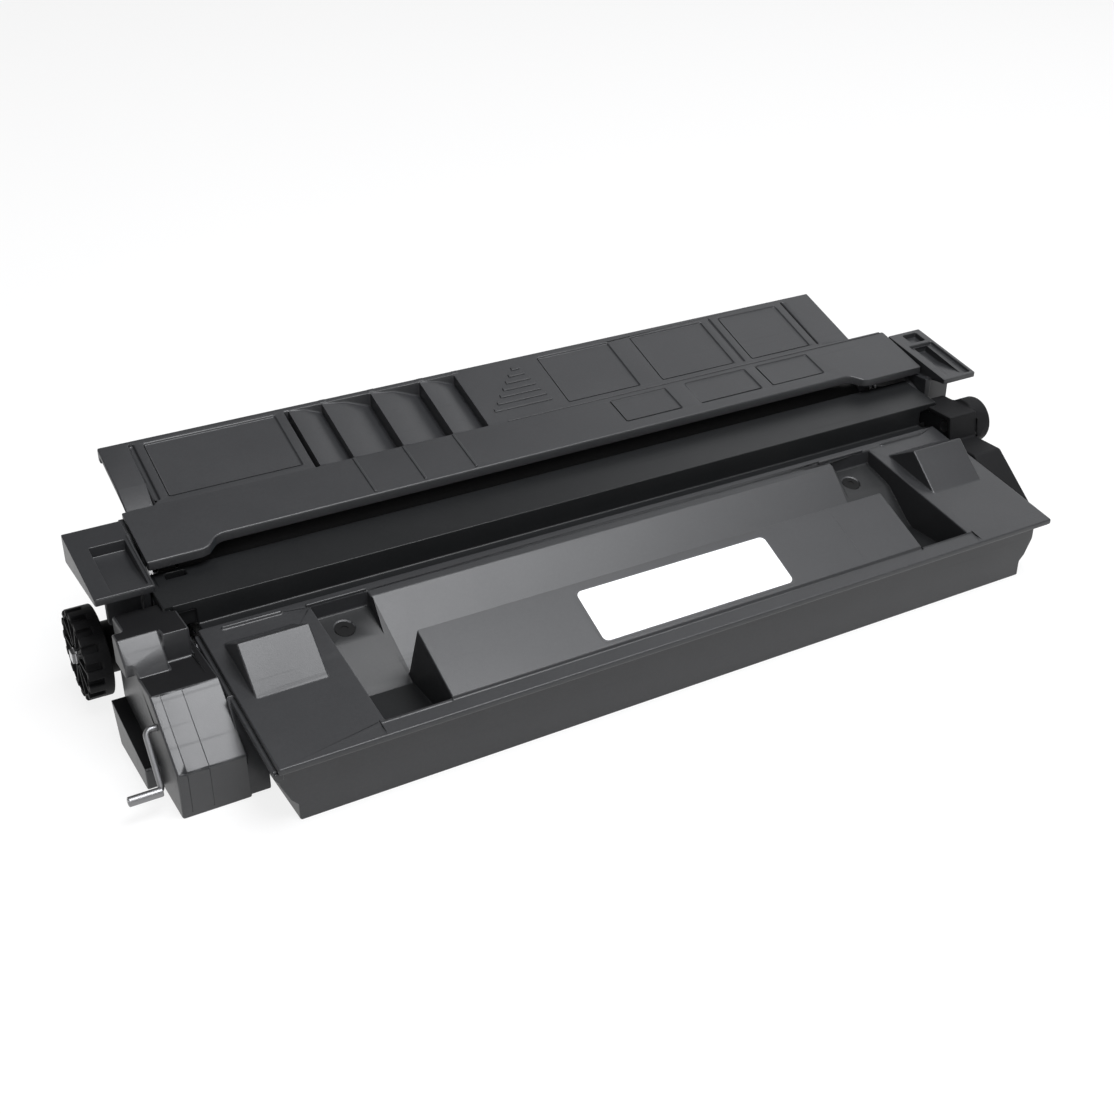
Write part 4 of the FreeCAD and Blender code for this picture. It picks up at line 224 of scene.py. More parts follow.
def makeDusting():
    # thin pale dust and toner film, more in some places than others
    group, put, out = makeGroup("dusting", [
        ("Vector", "NodeSocketVector", None),
        ("Colour", "NodeSocketColor", (0.02, 0.02, 0.02, 1.0)),
        ("Dust", "NodeSocketColor", (0.16, 0.16, 0.165, 1.0)),
        ("Amount", "NodeSocketFloat", 0.12),
    ], [("Colour", "NodeSocketColor")])
    cloud = addNode(group, "ShaderNodeTexNoise", Scale=55.0, Detail=6.0, Roughness=0.7)
    specks = addNode(group, "ShaderNodeTexNoise", Scale=900.0, Detail=2.0)
    for texture in (cloud, specks):
        join(group, put.outputs["Vector"], texture.inputs["Vector"])
    product = addNode(group, "ShaderNodeMath", operation="MULTIPLY")
    join(group, cloud.outputs["Fac"], product.inputs[0])
    join(group, specks.outputs["Fac"], product.inputs[1])
    amount = addNode(group, "ShaderNodeMath", operation="MULTIPLY")
    join(group, product.outputs[0], amount.inputs[0])
    join(group, put.outputs["Amount"], amount.inputs[1])
    blend = addNode(group, "ShaderNodeMix", data_type="RGBA")
    join(group, amount.outputs[0], blend.inputs[0])
    join(group, put.outputs["Colour"], blend.inputs[6])
    join(group, put.outputs["Dust"], blend.inputs[7])
    join(group, blend.outputs[2], out.inputs["Colour"])
    return group


mouldGrain = makeMouldGrain()
handling = makeHandling()
dusting = makeDusting()


def placeGroup(tree, group, **values):
    node = tree.nodes.new("ShaderNodeGroup")
    node.node_tree = group
    for key, value in values.items():
        node.inputs[key.replace("_", " ")].default_value = value
    return node


# One finish: its colour, its roughness, its grain and how dusty it is.
def makeFinish(name, colour, roughness=0.42, patches=0.1, scratches=0.05, pits=2600.0, depth=0.5,
               bump=0.00006, dust=0.12, dustColour=(0.16, 0.16, 0.165), metallic=0.0, specular=0.5, coat=0.0):
    material = bpy.data.materials.new(name)
    material.use_nodes = True
    tree = material.node_tree
    shader = tree.nodes["Principled BSDF"]
    place = tree.nodes.new("ShaderNodeTexCoord")
    grain = placeGroup(tree, mouldGrain, Pits_per_metre=pits, Depth=depth)
    rub = placeGroup(tree, handling, Roughness=roughness, Patches=patches, Scratches=scratches)
    film = placeGroup(tree, dusting, Colour=(*colour, 1.0), Dust=(*dustColour, 1.0), Amount=dust)
    for node in (grain, rub, film):
        join(tree, place.outputs["Object"], node.inputs["Vector"])
    relief = tree.nodes.new("ShaderNodeBump")
    relief.inputs["Strength"].default_value = 0.6
    relief.inputs["Distance"].default_value = bump
    join(tree, grain.outputs["Height"], relief.inputs["Height"])
    join(tree, relief.outputs["Normal"], shader.inputs["Normal"])
    join(tree, rub.outputs["Roughness"], shader.inputs["Roughness"])
    join(tree, film.outputs["Colour"], shader.inputs["Base Color"])
    shader.inputs["Metallic"].default_value = metallic
    shader.inputs["Specular IOR Level"].default_value = specular
    shader.inputs["Coat Weight"].default_value = coat
    return material


finishes = {
    "housing": makeFinish("satinBlackHousing", (0.017, 0.0175, 0.019), roughness=0.40, dust=0.10),
    "endParts": makeFinish("satinBlackEnds", (0.014, 0.0145, 0.016), roughness=0.36, dust=0.08, depth=0.35),
    # the end parts' black made lighter and glossier for the left cap's bright facets: a painted highlight
    "capPaintedSheen": makeFinish("satinBlackCapPaintedSheen", (0.02, 0.0205, 0.022), roughness=0.38, dust=0.08, depth=0.35,
                          specular=0.6),
    # dull black of the hubs; on the right end cap and the left cap's flat tops it is painted shade
    "hub": makeFinish("dullBlackHubAndPaintedShade", (0.006, 0.006, 0.0065), roughness=0.6, dust=0.03, specular=0.12),
    "strip": makeFinish("darkStrip", (0.008, 0.0085, 0.009), roughness=0.34, dust=0.05, specular=0.26),
    # painted shade for the floors of the finger pockets
    "pocket": makeFinish("pocketFloorPaintedShade", (0.008, 0.0085, 0.009), roughness=0.44, dust=0.05, specular=0.32),
    "screw": makeFinish("blackScrew", (0.004, 0.004, 0.004), roughness=0.6, dust=0.02, specular=0.15),
    "shutter": makeFinish("shutterPlastic", (0.03, 0.03, 0.032), roughness=0.45),
    "gears": makeFinish("darkGears", (0.035, 0.035, 0.037), roughness=0.38, dust=0.2),
    "flange": makeFinish("paleFlange", (0.42, 0.42, 0.42), roughness=0.4, dust=0.2,
                         dustColour=(0.15, 0.15, 0.15)),
    "bushes": makeFinish("greyBushes", (0.10, 0.10, 0.105), roughness=0.4),
    "drum": makeFinish("drumCoating", (0.03, 0.16, 0.20), roughness=0.12, patches=0.03, depth=0.05, dust=0.02,
                       coat=0.6),
    "rubber": makeFinish("rollerRubber", (0.02, 0.02, 0.02), roughness=0.62, pits=4200.0, depth=0.8),
    "sleeve": makeFinish("sleeveMetal", (0.30, 0.30, 0.31), roughness=0.45, metallic=1.0, pits=5200.0,
                         depth=0.7),
    "magnet": makeFinish("bondedMagnet", (0.05, 0.05, 0.052), roughness=0.5),
    "steel": makeFinish("platedSteel", (0.55, 0.55, 0.56), roughness=0.28, metallic=1.0, depth=0.15,
                        dust=0.05),
    "wire": makeFinish("dullWire", (0.24, 0.24, 0.245), roughness=0.42, metallic=1.0, depth=0.2, dust=0.1),
    "paper": makeFinish("labelPaper", (0.86, 0.86, 0.87), roughness=0.5, pits=1800.0, depth=0.2, dust=0.03,
                        dustColour=(0.7, 0.7, 0.7)),
    "labelEdge": makeFinish("labelAdhesive", (0.03, 0.03, 0.032), roughness=0.5),
    "film": makeFinish("thinFilm", (0.03, 0.03, 0.03), roughness=0.2, depth=0.1),
    "felt": makeFinish("sealFelt", (0.05, 0.05, 0.05), roughness=0.95, pits=3000.0, depth=1.5, bump=0.0004),
}

slotFinish = {
    "housing": "housing", "end_parts": "endParts", "shutter_plastic": "shutter", "gears": "gears",
    "bushes": "bushes", "drum_coating": "drum", "roller_rubber": "rubber", "sleeve_metal": "sleeve",
    "magnet": "magnet", "steel": "steel", "label": "paper", "film": "film", "felt": "felt",
}
nodeFinish = {"drum_flange": "flange", "shutter_wire_left": "wire", "shutter_wire_right": "wire"}
for part in frame["record"]["subparts"]:
    node = nodes[part["node"]]
    node.data.materials.clear()
    finish = nodeFinish.get(part["node"], slotFinish[part["material_slot"]])
    node.data.materials.append(finishes[finish])
print("finishes made:", len(finishes))


# mouldings: a copy of the CAD solid with its edges rounded as a mould leaves them;
# merge and sliver in metres, stray in millimetres, angles in degrees
mending = {"merge": 0.000004, "sliver": 0.000001, "stray": 1.2, "turns": 3, "flatAngle": 0.4}


def cleanCopy(nodeName, newName):
    source = nodes[nodeName]
    piece = source.copy()
    piece.data = source.data.copy()
    piece.name = newName
    piece.data.name = newName
    piece.parent = None
    for key in list(piece.keys()):
        del piece[key]
    scene.collection.objects.link(piece)
    activate(piece)
    if piece.data.has_custom_normals:
        bpy.ops.mesh.customdata_custom_splitnormals_clear()
    editAll(piece)
    bpy.ops.mesh.remove_doubles(threshold=mending["merge"])
    leaveEdit()
    return piece


def carve(piece, cutters, operation="DIFFERENCE"):
    activate(piece)
    for cutter in cutters:
        carving = piece.modifiers.new("carving", "BOOLEAN")
        carving.operation = operation
        carving.solver = "EXACT"
        carving.object = cutter
        bpy.ops.object.modifier_apply(modifier=carving.name)
    for cutter in cutters:
        bpy.data.objects.remove(cutter)


def foldedShare(piece):
    # 1.0 when no many-sided face is folded over itself
    piece.data.calc_loop_triangles()
    triangleArea = sum(triangle.area for triangle in piece.data.loop_triangles)
    return triangleArea / sum(face.area for face in piece.data.polygons)


def makeTriangles(piece):
    editAll(piece)
    bpy.ops.mesh.quads_convert_to_tris()
    leaveEdit()


def softenCorners(piece, radius, isCorner, steps=6):
    # a wide rounding for the edges that isCorner picks by their two ends, in millimetres
    activate(piece)
    for edge in piece.data.edges:
        first, second = (piece.data.vertices[index].co / mm for index in edge.vertices)
        edge.select = isCorner(first, second)
    bpy.context.tool_settings.mesh_select_mode = (False, True, False)
    bpy.ops.object.mode_set(mode="EDIT")
    bpy.ops.mesh.bevel(offset=radius * mm, segments=steps, affect="EDGES", clamp_overlap=True)
    bpy.ops.object.mode_set(mode="OBJECT")
    bpy.context.tool_settings.mesh_select_mode = (True, False, False)


def surfaceOf(piece):
    shape = bmesh.new()
    shape.from_mesh(piece.data)
    tree = BVHTree.FromBMesh(shape)
    shape.free()
    return tree


def pullBack(piece, surface):
    # a corner that the rounding threw off the surface is welded to the sound neighbour nearest its foot
    shape = bmesh.new()
    shape.from_mesh(piece.data)
    reach = mending["stray"] * mm
    for turn in range(mending["turns"]):
        stray = {corner for corner in shape.verts if surface.find_nearest(corner.co)[3] > reach}
        targets = {}
        for corner in stray:
            ends = [edge.other_vert(corner) for edge in corner.link_edges]
            sound = [end for end in ends if end not in stray]
            foot = surface.find_nearest(corner.co)[0]
            if sound:
                targets[corner] = min(sound, key=lambda end: (end.co - foot).length)
        if stray:
            print("stray corners", len(stray), "welded", len(targets))
        if not targets:
            break
        bmesh.ops.weld_verts(shape, targetmap=targets)
        bmesh.ops.dissolve_degenerate(shape, dist=mending["sliver"], edges=shape.edges)
    shape.to_mesh(piece.data)
    shape.free()


def roundEdges(piece, radius, steps=2, sharper=24, corners=None):
    editAll(piece)
    bpy.ops.mesh.remove_doubles(threshold=mending["merge"])
    bpy.ops.mesh.dissolve_limited(angle_limit=math.radians(mending["flatAngle"]))
    bpy.ops.mesh.select_all(action="DESELECT")
    leaveEdit()
    if corners:
        softenCorners(piece, *corners)
    makeTriangles(piece)
    surface = surfaceOf(piece)
    rounding = piece.modifiers.new("rounding", "BEVEL")
    rounding.width = radius * mm
    rounding.segments = steps
    rounding.limit_method = "ANGLE"
    rounding.angle_limit = math.radians(sharper)
    rounding.miter_outer = "MITER_ARC"
    rounding.use_clamp_overlap = False
    applyAll(piece)
    pullBack(piece, surface)
    flatten(piece)


def flatten(piece, angle=50):
    # broad faces keep their own normal, so the rounding alone carries the highlight
    activate(piece)
    bpy.ops.object.shade_smooth_by_angle(angle=math.radians(angle))
    weighted = piece.modifiers.new("faceNormals", "WEIGHTED_NORMAL")
    weighted.keep_sharp = True
    weighted.weight = 60
    applyAll(piece)


def meshVolume(piece):
    shape = bmesh.new()
    shape.from_mesh(piece.data)
    volume = shape.calc_volume()
    openEdges = sum(1 for edge in shape.edges if not edge.is_manifold)
    shape.free()
    return volume, openEdges


def cutSeams(piece, seams):
    # hairline seams go in after the rounding, into a mesh of plain triangles
    makeTriangles(piece)
    carve(piece, seams)
    flatten(piece)


def dressNode(nodeName, newName, radius, finish, cutters=(), steps=2, added=(), seams=(),
              corners=None):
    piece = cleanCopy(nodeName, newName)
    before = meshVolume(piece)[0]
    carve(piece, added, "UNION")
    carve(piece, cutters)
    roundEdges(piece, radius, steps, corners=corners)
    if seams:
        cutSeams(piece, seams)
    after, openEdges = meshVolume(piece)
    print(newName, "volume", round(after / before, 4), "open edges", openEdges,
          "faces", len(piece.data.polygons), "folded", round(foldedShare(piece), 5))
    seat(piece, bodyOf[nodeName], finishes[finish])
    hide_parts(nodeName)
    return piece


# A slab in millimetres, its foot below a slope and its top proud of it: it cuts grooves and panels.
def makeCutter(name, x0, x1, y0, y1, top, depth, proud=3.0):
    bpy.ops.mesh.primitive_cube_add(size=1.0)
    cutter = bpy.context.object
    cutter.name = name
    for vertex in cutter.data.vertices:
        x = x0 if vertex.co.x < 0 else x1
        y = y0 if vertex.co.y < 0 else y1
        z = top(y) - depth if vertex.co.z < 0 else top(y) + proud
        vertex.co = Vector((x, y, z)) * mm
    return cutter


# waste bin cover: grooves beside the panels, bare panels on the bar, stepped bar
binCover = {
    "grooves": ((-159.5, 1.8, 1.3), (101.0, 0.7, 0.45), (141.5, 0.7, 0.45)), "grooveY": (47.0, 75.6),
    "barPanels": ((29.5, 56.5), (66.5, 97.5), (103.5, 131.0)), "barPanelY": (29.0, 42.5),
    "barPanelDepth": 0.35,
    "steps": (-83.6, -62.8, -41.2), "stepWidth": 1.1, "stepHeight": 0.45, "stepY": (24.6, 44.6),
    "bead": (-17.0, 175.0, 44.5, 45.3), "beadHeight": 0.3,
    "facet": (-172.4, -161.2, 45.2, 55.5), "facetFall": 0.2, "facetNormal": (-0.65, -0.45),
    "taperFrom": (176.0, 46.0), "taperMiddle": 58.0, "rightTaper": 0.15,
    "stops": (-83.6, -62.8, -41.2, -25.6), "stopX": (-0.6, 2.4), "stopY": (75.2, 77.0), "stopHeight": 0.15,
    "edge": 0.55,
}
cutters = []
for x, width, depth in binCover["grooves"]:
    y0, y1 = binCover["grooveY"]
    cutters.append(makeCutter("grooveTool", x - width / 2, x + width / 2, y0, y1, plateTop, depth))
for x0, x1 in binCover["barPanels"]:
    y0, y1 = binCover["barPanelY"]
    cutters.append(makeCutter("panelTool", x0, x1, y0, y1, barTop, binCover["barPanelDepth"]))
x0, x1, y0, y1 = binCover["facet"]
cutters.append(makeCutter("facetTool", x0, x1, y0, y1,
                          lambda y: plateTop(y) - (y1 - y) * binCover["facetFall"], 0.0))
coverPiece = dressNode("waste_bin_cover", "binCoverMoulding", binCover["edge"], "housing", cutters)
taperX, taperY = binCover["taperFrom"]
for vertex in coverPiece.data.vertices:
    # the right edge of the plate runs outwards to the back
    if vertex.co.x > taperX * mm and vertex.co.y > taperY * mm:
        vertex.co.x += (vertex.co.y - binCover["taperMiddle"] * mm) * binCover["rightTaper"]
steep, shallow = binCover["facetNormal"]
coverPiece.data.materials.append(finishes["capPaintedSheen"])
for face in coverPiece.data.polygons:
    # the facet at the left end of the plate gets the cap's lighter, glossier finish: a painted highlight, so
    # it shines like the facets of the end cap
    if face.center.x < x1 * mm and y0 * mm < face.center.y < y1 * mm and steep < face.normal.y < shallow:
        face.material_index = 1
print("waste bin cover dressed")


# A low rib that follows a slope: a block stood on the surface, its top edges rounded.
def makeRib(name, x0, x1, y0, y1, top, height, edge=0.2, sink=0.6):
    bpy.ops.mesh.primitive_cube_add(size=1.0)
    rib = bpy.context.object
    rib.name = name
    for vertex in rib.data.vertices:
        x = x0 if vertex.co.x < 0 else x1
        y = y0 if vertex.co.y < 0 else y1
        z = top(y) - sink if vertex.co.z < 0 else top(y) + height
        vertex.co = Vector((x, y, z)) * mm
    rounding = rib.modifiers.new("rounding", "BEVEL")
    rounding.width = edge * mm
    rounding.segments = 2
    rounding.limit_method = "ANGLE"
    rounding.angle_limit = math.radians(40)
    applyAll(rib)
    return rib


def joinPieces(name, pieces):
    deselectAll()
    for piece in pieces:
        piece.select_set(True)
    bpy.context.view_layer.objects.active = pieces[0]
    bpy.ops.object.join()
    joined = bpy.context.object
    joined.name = name
    joined.data.name = name
    flatten(joined)
    return joined


barSteps = []
y0, y1 = binCover["stepY"]
for x in binCover["steps"]:
    barSteps.append(makeRib("barStep", x - binCover["stepWidth"], x, y0, y1, barTop, binCover["stepHeight"]))
barSteps.append(makeRib("foldBead", *binCover["bead"], barTop, binCover["beadHeight"], edge=0.2))
seat(joinPieces("barSteps", barSteps), "frame", finishes["housing"])

# a triangle of short grip ribs between the grip and the first panel
triangle = {"rows": 7, "frontY": 50.5, "backY": 73.5, "leftX": -19.5, "rightX": 7.0, "apexX": 2.0,
            "height": 0.45, "ribDepth": 1.7}
rows = []
for row in range(triangle["rows"]):
    share = row / triangle["rows"]
    y = triangle["frontY"] + (triangle["backY"] - triangle["frontY"]) * share
    left = triangle["leftX"] + (triangle["apexX"] - triangle["leftX"]) * share
    right = triangle["rightX"] + (triangle["apexX"] - triangle["rightX"]) * share
    rows.append(makeRib("triangleRow", left, right, y, y + triangle["ribDepth"], plateTop,
                        triangle["height"]))
seat(joinPieces("triangleRibs", rows), "frame", finishes["housing"])

# small stops along the back edge, one where each grip ramp ends
stops = []
y0, y1 = binCover["stopY"]
for x in binCover["stops"]:
    stopLeft, stopRight = x + binCover["stopX"][0], x + binCover["stopX"][1]
    stops.append(makeRib("backStop", stopLeft, stopRight, y0, y1, plateTop, binCover["stopHeight"], edge=0.3))
seat(joinPieces("backStops", stops), "frame", finishes["housing"])


# hopper cover: seams, screws in the pockets, rims behind them
hopperCover = {
    "edge": 0.6, "seamX": 75.0, "seamWidth": 0.22, "seamDepth": 0.2, "seamY": (-68.0, -47.2),
    "pocketX": (95.0, 128.0), "pocketY": (-70.0, -9.5), "floorDrop": 2.5, "floorFacing": 0.5,
    "pocketRound": 3.0, "pocketWallX": 126.0, "wallBackY": -9.0, "wallDrop": 0.8, "uprightLength": 2.0,
    "near": 0.1,
    "shelfY": -9.4, "shelfZ": 33.0, "shelfRise": 0.288,
    "dimples": ((-116.8, -16.6), (111.0, -17.2)), "dimpleR": 4.0, "dimpleDrop": 0.8, "dimpleDepth": 6.0,
    "headGap": 0.5, "headDrop": 0.85, "headHeight": 0.55,
    "slotShare": 0.35, "slotDrop": 0.55, "slotDepth": 1.0,
    "frontClear": (-164.0, 164.0, -72.2, -70.7), "frontClearTop": 20.6, "frontClearDepth": 13.0,
    "rims": ((-127.5, -104.6), (99.6, 123.0)), "rimY": (-9.3, -8.3), "rimHeight": 0.9,
}


def shelfTop(y):
    return hopperCover["shelfZ"] + (y - hopperCover["shelfY"]) * hopperCover["shelfRise"]


def isPocketCorner(first, second):
    # edges of a finger pocket's outer end wall, and the upright edges of its back wall
    near = hopperCover["near"]
    ends = (first, second)
    atWall = all(abs(abs(end.x) - hopperCover["pocketWallX"]) < near for end in ends)
    within = all(hopperCover["pocketY"][0] < end.y < hopperCover["wallBackY"] for end in ends)
    below = all(end.z < hopperTop(end.y) - hopperCover["wallDrop"] for end in ends)
    inLine = abs(first.x - second.x) < near and abs(first.y - second.y) < near
    upright = inLine and abs(first.z - second.z) > hopperCover["uprightLength"]
    atBack = abs(first.x) > hopperCover["pocketX"][0] and abs(first.y - hopperCover["shelfY"]) < near * 2
    return (atWall and within and below) or (upright and atBack)


def makeDrill(name, x, y, drop, radius, depth):
    # a short cylinder, cutter or screw, whose ends lie along the sloping shelf
    bpy.ops.mesh.primitive_cylinder_add(vertices=32, radius=radius * mm, depth=depth * mm)
    drill = bpy.context.object
    drill.name = name
    for vertex in drill.data.vertices:
        vertex.co.z += vertex.co.y * hopperCover["shelfRise"]
    drill.location = (x * mm, y * mm, (shelfTop(y) - drop + depth / 2) * mm)
    return settle(drill)


seams = [makeCutter("wedgeSeam", hopperCover["seamX"], hopperCover["seamX"] + hopperCover["seamWidth"],
                    *hopperCover["seamY"], wedgeTop, hopperCover["seamDepth"])]
for x, y in hopperCover["dimples"]:
    seams.append(makeDrill("dimple", x, y, hopperCover["dimpleDrop"], hopperCover["dimpleR"],
                           hopperCover["dimpleDepth"]))
# the outer sides of the finger pockets stay behind the front of the shell
cutters = [makeCutter("frontClear", *hopperCover["frontClear"], lambda y: hopperCover["frontClearTop"],
                      hopperCover["frontClearDepth"])]
coverPiece = dressNode("hopper_cover", "hopperCoverMoulding", hopperCover["edge"], "housing",
                       cutters, seams=seams, corners=(hopperCover["pocketRound"], isPocketCorner))
coverPiece.data.materials.append(finishes["pocket"])
pocketNear, pocketFar = hopperCover["pocketX"]
pocketFront, pocketBack = hopperCover["pocketY"]
for face in coverPiece.data.polygons:
    # the floors of the pockets get a darker, duller finish: painted shade in the recesses
    x, y, z = (value * 1000 for value in face.center)
    inPocket = pocketNear < abs(x) < pocketFar and pocketFront < y < pocketBack
    deep = z < hopperTop(y) - hopperCover["floorDrop"]
    if inPocket and deep and face.normal.z > hopperCover["floorFacing"]:
        face.material_index = 1
rims = []
for x0, x1 in hopperCover["rims"]:
    rims.append(makeRib("pocketRim", x0, x1, *hopperCover["rimY"], hopperTop, hopperCover["rimHeight"],
                        edge=0.3))
seat(joinPieces("pocketRims", rims), "frame", finishes["housing"])
heads = []
for x, y in hopperCover["dimples"]:
    headRadius = hopperCover["dimpleR"] - hopperCover["headGap"]
    slotRadius = hopperCover["dimpleR"] * hopperCover["slotShare"]
    head = makeDrill("screwHead", x, y, hopperCover["headDrop"], headRadius, hopperCover["headHeight"])
    slot = makeDrill("screwSlot", x, y, hopperCover["slotDrop"], slotRadius, hopperCover["slotDepth"])
    carve(head, [slot])
    heads.append(head)
seat(joinPieces("pocketScrews", heads), "frame", finishes["screw"])
print("hopper cover dressed")

dressNode("hopper_shell", "hopperShellMoulding", 0.6, "housing")


# the strip over the sleeve: closed up to the left ear, with a slot at its left end
strip = {
    "edge": 0.7, "thick": 2.6, "slot": (-168.0, -160.5, 16.8, 20.0), "slotExtra": 1.5,
    "end": (-174.7, -171.0, 1.2, 21.8), "endDrop": 3.0,
    "wall": (-170.4, -160.6, 1.5, 3.2), "wallHeight": -1.0, "wallSink": 9.0,
}
cutters = [makeCutter("stripSlot", *strip["slot"], stripTop, strip["thick"] + strip["slotExtra"])]
ends = [
    makeCutter("stripEnd", *strip["end"], lambda y: stripTop(y) - strip["endDrop"], strip["thick"]),
    makeRib("stripWall", *strip["wall"], stripTop, strip["wallHeight"], edge=0.3, sink=strip["wallSink"]),
]
dressNode("developer_frame", "developerFrameMoulding", strip["edge"], "strip", cutters, added=ends)
dressNode("waste_bin", "wasteBinMoulding", 0.5, "housing")
dressNode("left_side_cover", "leftSideCoverMoulding", 0.5, "endParts")
# the right ear is a frame within a frame
rightEar = {
    "outer": (181.4, 194.4, 5.5, 31.4), "depth": 1.3,
    "back": (184.5, 192.5, 33.4, 40.0), "backDepth": 2.2,
}
cutters = [
    makeCutter("earFrame", *rightEar["outer"], earTop, rightEar["depth"]),
    makeCutter("earNotch", *rightEar["back"], earTop, rightEar["backDepth"]),
]
dressNode("right_side_cover", "rightSideCoverMoulding", 0.4, "endParts", cutters)
print("frames and side covers dressed")


# a bright raised line along the front and inner edges of the left ear
ear = {"outX": -195.6, "inX": -175.3, "frontY": 4.1, "backY": 33.0, "rimWidth": 0.7, "rimHeight": 0.35}
rims = [
    makeRib("earRim", ear["outX"], ear["inX"], ear["frontY"], ear["frontY"] + ear["rimWidth"], earTop,
            ear["rimHeight"], edge=0.25),
    makeRib("earRim", ear["inX"] - ear["rimWidth"], ear["inX"], ear["frontY"], ear["backY"], earTop,
            ear["rimHeight"], edge=0.25),
]
seat(joinPieces("leftEarRim", rims), "frame", finishes["endParts"])

# hubs: the left one is notched round its rim, with ribs and a square end in its dish
hub = {
    "y": 32.0, "z": 19.5, "outX": -200.0, "radius": 16.8,
    "notches": 16, "notchX": (-1.0, 5.5), "notchBand": 2.0, "notchWidth": 3.0,
    "ribs": 10, "ribX": (0.15, 1.4), "ribFoot": 4.0, "ribGap": 2.2, "ribWidth": 1.0,
    "squareX": (-1.6, 1.4), "squareSide": 4.0,
}


def aroundHub(name, count, x0, x1, low, high, width):
    # one block between two radii, then its copies turned round the hub's axis
    blocks = []
    for index in range(count):
        if index == 0:
            bpy.ops.mesh.primitive_cube_add(size=1.0)
            block = bpy.context.object
            block.name = name
            for vertex in block.data.vertices:
                x = x0 if vertex.co.x < 0 else x1
                radius = low if vertex.co.z < 0 else high
                vertex.co = Vector((x, vertex.co.y * width, radius)) * mm
            block.location = (0, hub["y"] * mm, hub["z"] * mm)
        else:
            block = blocks[0].copy()
            block.data = blocks[0].data.copy()
            scene.collection.objects.link(block)
        block.rotation_euler = (2 * math.pi * (index + 0.5) / count, 0, 0)
        blocks.append(block)
    return [settle(block) for block in blocks]


x0, x1 = (hub["outX"] + reach for reach in hub["notchX"])
notches = aroundHub("hubNotch", hub["notches"], x0, x1, hub["radius"] - hub["notchBand"],
                    hub["radius"] + hub["notchBand"], hub["notchWidth"])
dressNode("left_hub", "leftHubMoulding", 0.4, "hub", notches)
x0, x1 = (hub["outX"] + reach for reach in hub["ribX"])
ribs = aroundHub("hubRib", hub["ribs"], x0, x1, hub["ribFoot"], hub["radius"] - hub["ribGap"],
                 hub["ribWidth"])
seat(joinPieces("leftHubRibs", ribs), "frame", finishes["hub"])
x0, x1 = (hub["outX"] + reach for reach in hub["squareX"])
side = hub["squareSide"]
squareEnd = aroundHub("hubSquareEnd", 1, x0, x1, -side / 2, side / 2, side)[0]
flatten(squareEnd)
seat(squareEnd, "frame", finishes["steel"])
dressNode("right_hub", "rightHubMoulding", 0.8, "hub")
print("hubs dressed")


# left end cap: the two seams that run over its bright face, a web and a tab beside it
cap = {
    "seamX": (-187.3, -180.0), "seamWidth": 0.3, "seamDepth": 0.25, "seamFrontY": -52.5, "seamBackY": -30.0,
    "seamAbove": 0.5, "seamFoot": 1.5, "frontY": -51.8, "backY": -29.8, "lowZ": 17.0, "highZ": 35.0,
    "flatFacing": 0.95,
    "web": (-168.0, -160.4, -51.75, -38.0), "webTop": 13.5, "webRise": 1.35, "webFoot": 1.0,
    "tab": (-166.6, -163.6, -75.8, -72.6), "tabHeight": -2.6, "tabSink": 5.2,
}


def lugTop(y):
    return cap["highZ"] + (y - cap["backY"]) * (cap["highZ"] - cap["lowZ"]) / (cap["backY"] - cap["frontY"])


seams = []
lugFrontZ = lugTop(cap["frontY"])
for x in cap["seamX"]:
    x0, x1 = x - cap["seamWidth"] / 2, x + cap["seamWidth"] / 2
    seams.append(makeCutter("capSeam", x0, x1, cap["seamFrontY"], cap["seamBackY"], lugTop, cap["seamDepth"]))
    seams.append(makeCutter("frontSeam", x0, x1, cap["seamFrontY"], cap["frontY"] + cap["seamDepth"],
                            lambda y: lugFrontZ + cap["seamAbove"], lugFrontZ - cap["seamFoot"]))
# the left cap takes the lighter cap finish: its own black with a painted highlight
capPiece = dressNode("left_end_cap", "leftCapMoulding", 0.8, "capPaintedSheen", seams=seams)
capPiece.data.materials.append(finishes["hub"])
for face in capPiece.data.polygons:
    # the flat tops get the darker, duller finish of the hubs: painted shade on the faces that look up
    if face.normal.z > cap["flatFacing"]:
        face.material_index = 1
# the right end cap gets the darker, duller hub finish: painted shade, as little light reaches it
dressNode("right_end_cap", "rightCapMoulding", 0.8, "hub")


def webTop(y):
    return cap["webTop"] + (y - cap["frontY"]) * cap["webRise"]


# web between the lug and the end of the hopper box, and the tab at the lip's end
webs = [
    makeRib("capWeb", *cap["web"], webTop, 0.0, edge=0.4, sink=cap["webTop"] - cap["webFoot"]),
    makeRib("lipTab", *cap["tab"], hopperTop, cap["tabHeight"], edge=0.3, sink=cap["tabSink"]),
]
seat(joinPieces("leftEndWebs", webs), "frame", finishes["endParts"])
print("end caps dressed")


# thicker sleeve on the outer pin of the shutter wire
pin = {"y": -46.0, "z": 9.3, "radius": 1.7, "fromX": -205.9, "toX": -194.6, "edge": 0.35}
middle = ((pin["fromX"] + pin["toX"]) / 2 * mm, pin["y"] * mm, pin["z"] * mm)
bpy.ops.mesh.primitive_cylinder_add(vertices=32, radius=pin["radius"] * mm, location=middle,
                                    depth=(pin["toX"] - pin["fromX"]) * mm,
                                    rotation=(0, math.radians(90), 0))
pinSleeve = settle(bpy.context.object)
pinSleeve.name = "wirePinSleeve"
rounding = pinSleeve.modifiers.new("rounding", "BEVEL")
rounding.width = pin["edge"] * mm
rounding.segments = 3
rounding.angle_limit = math.radians(40)
applyAll(pinSleeve)
flatten(pinSleeve)
seat(pinSleeve, bodyOf["shutter_wire_left"], finishes["wire"])
print("shutter pin sleeved")

# blank label: paper with round corners on a dark adhesive edge
label = {
    "halfLength": 41.3, "backY": -48.5, "frontY": -68.8, "corner": 2.2, "border": 0.7,
    "edgeLayer": (0.02, 0.08), "paperLayer": (0.08, 0.14),
}


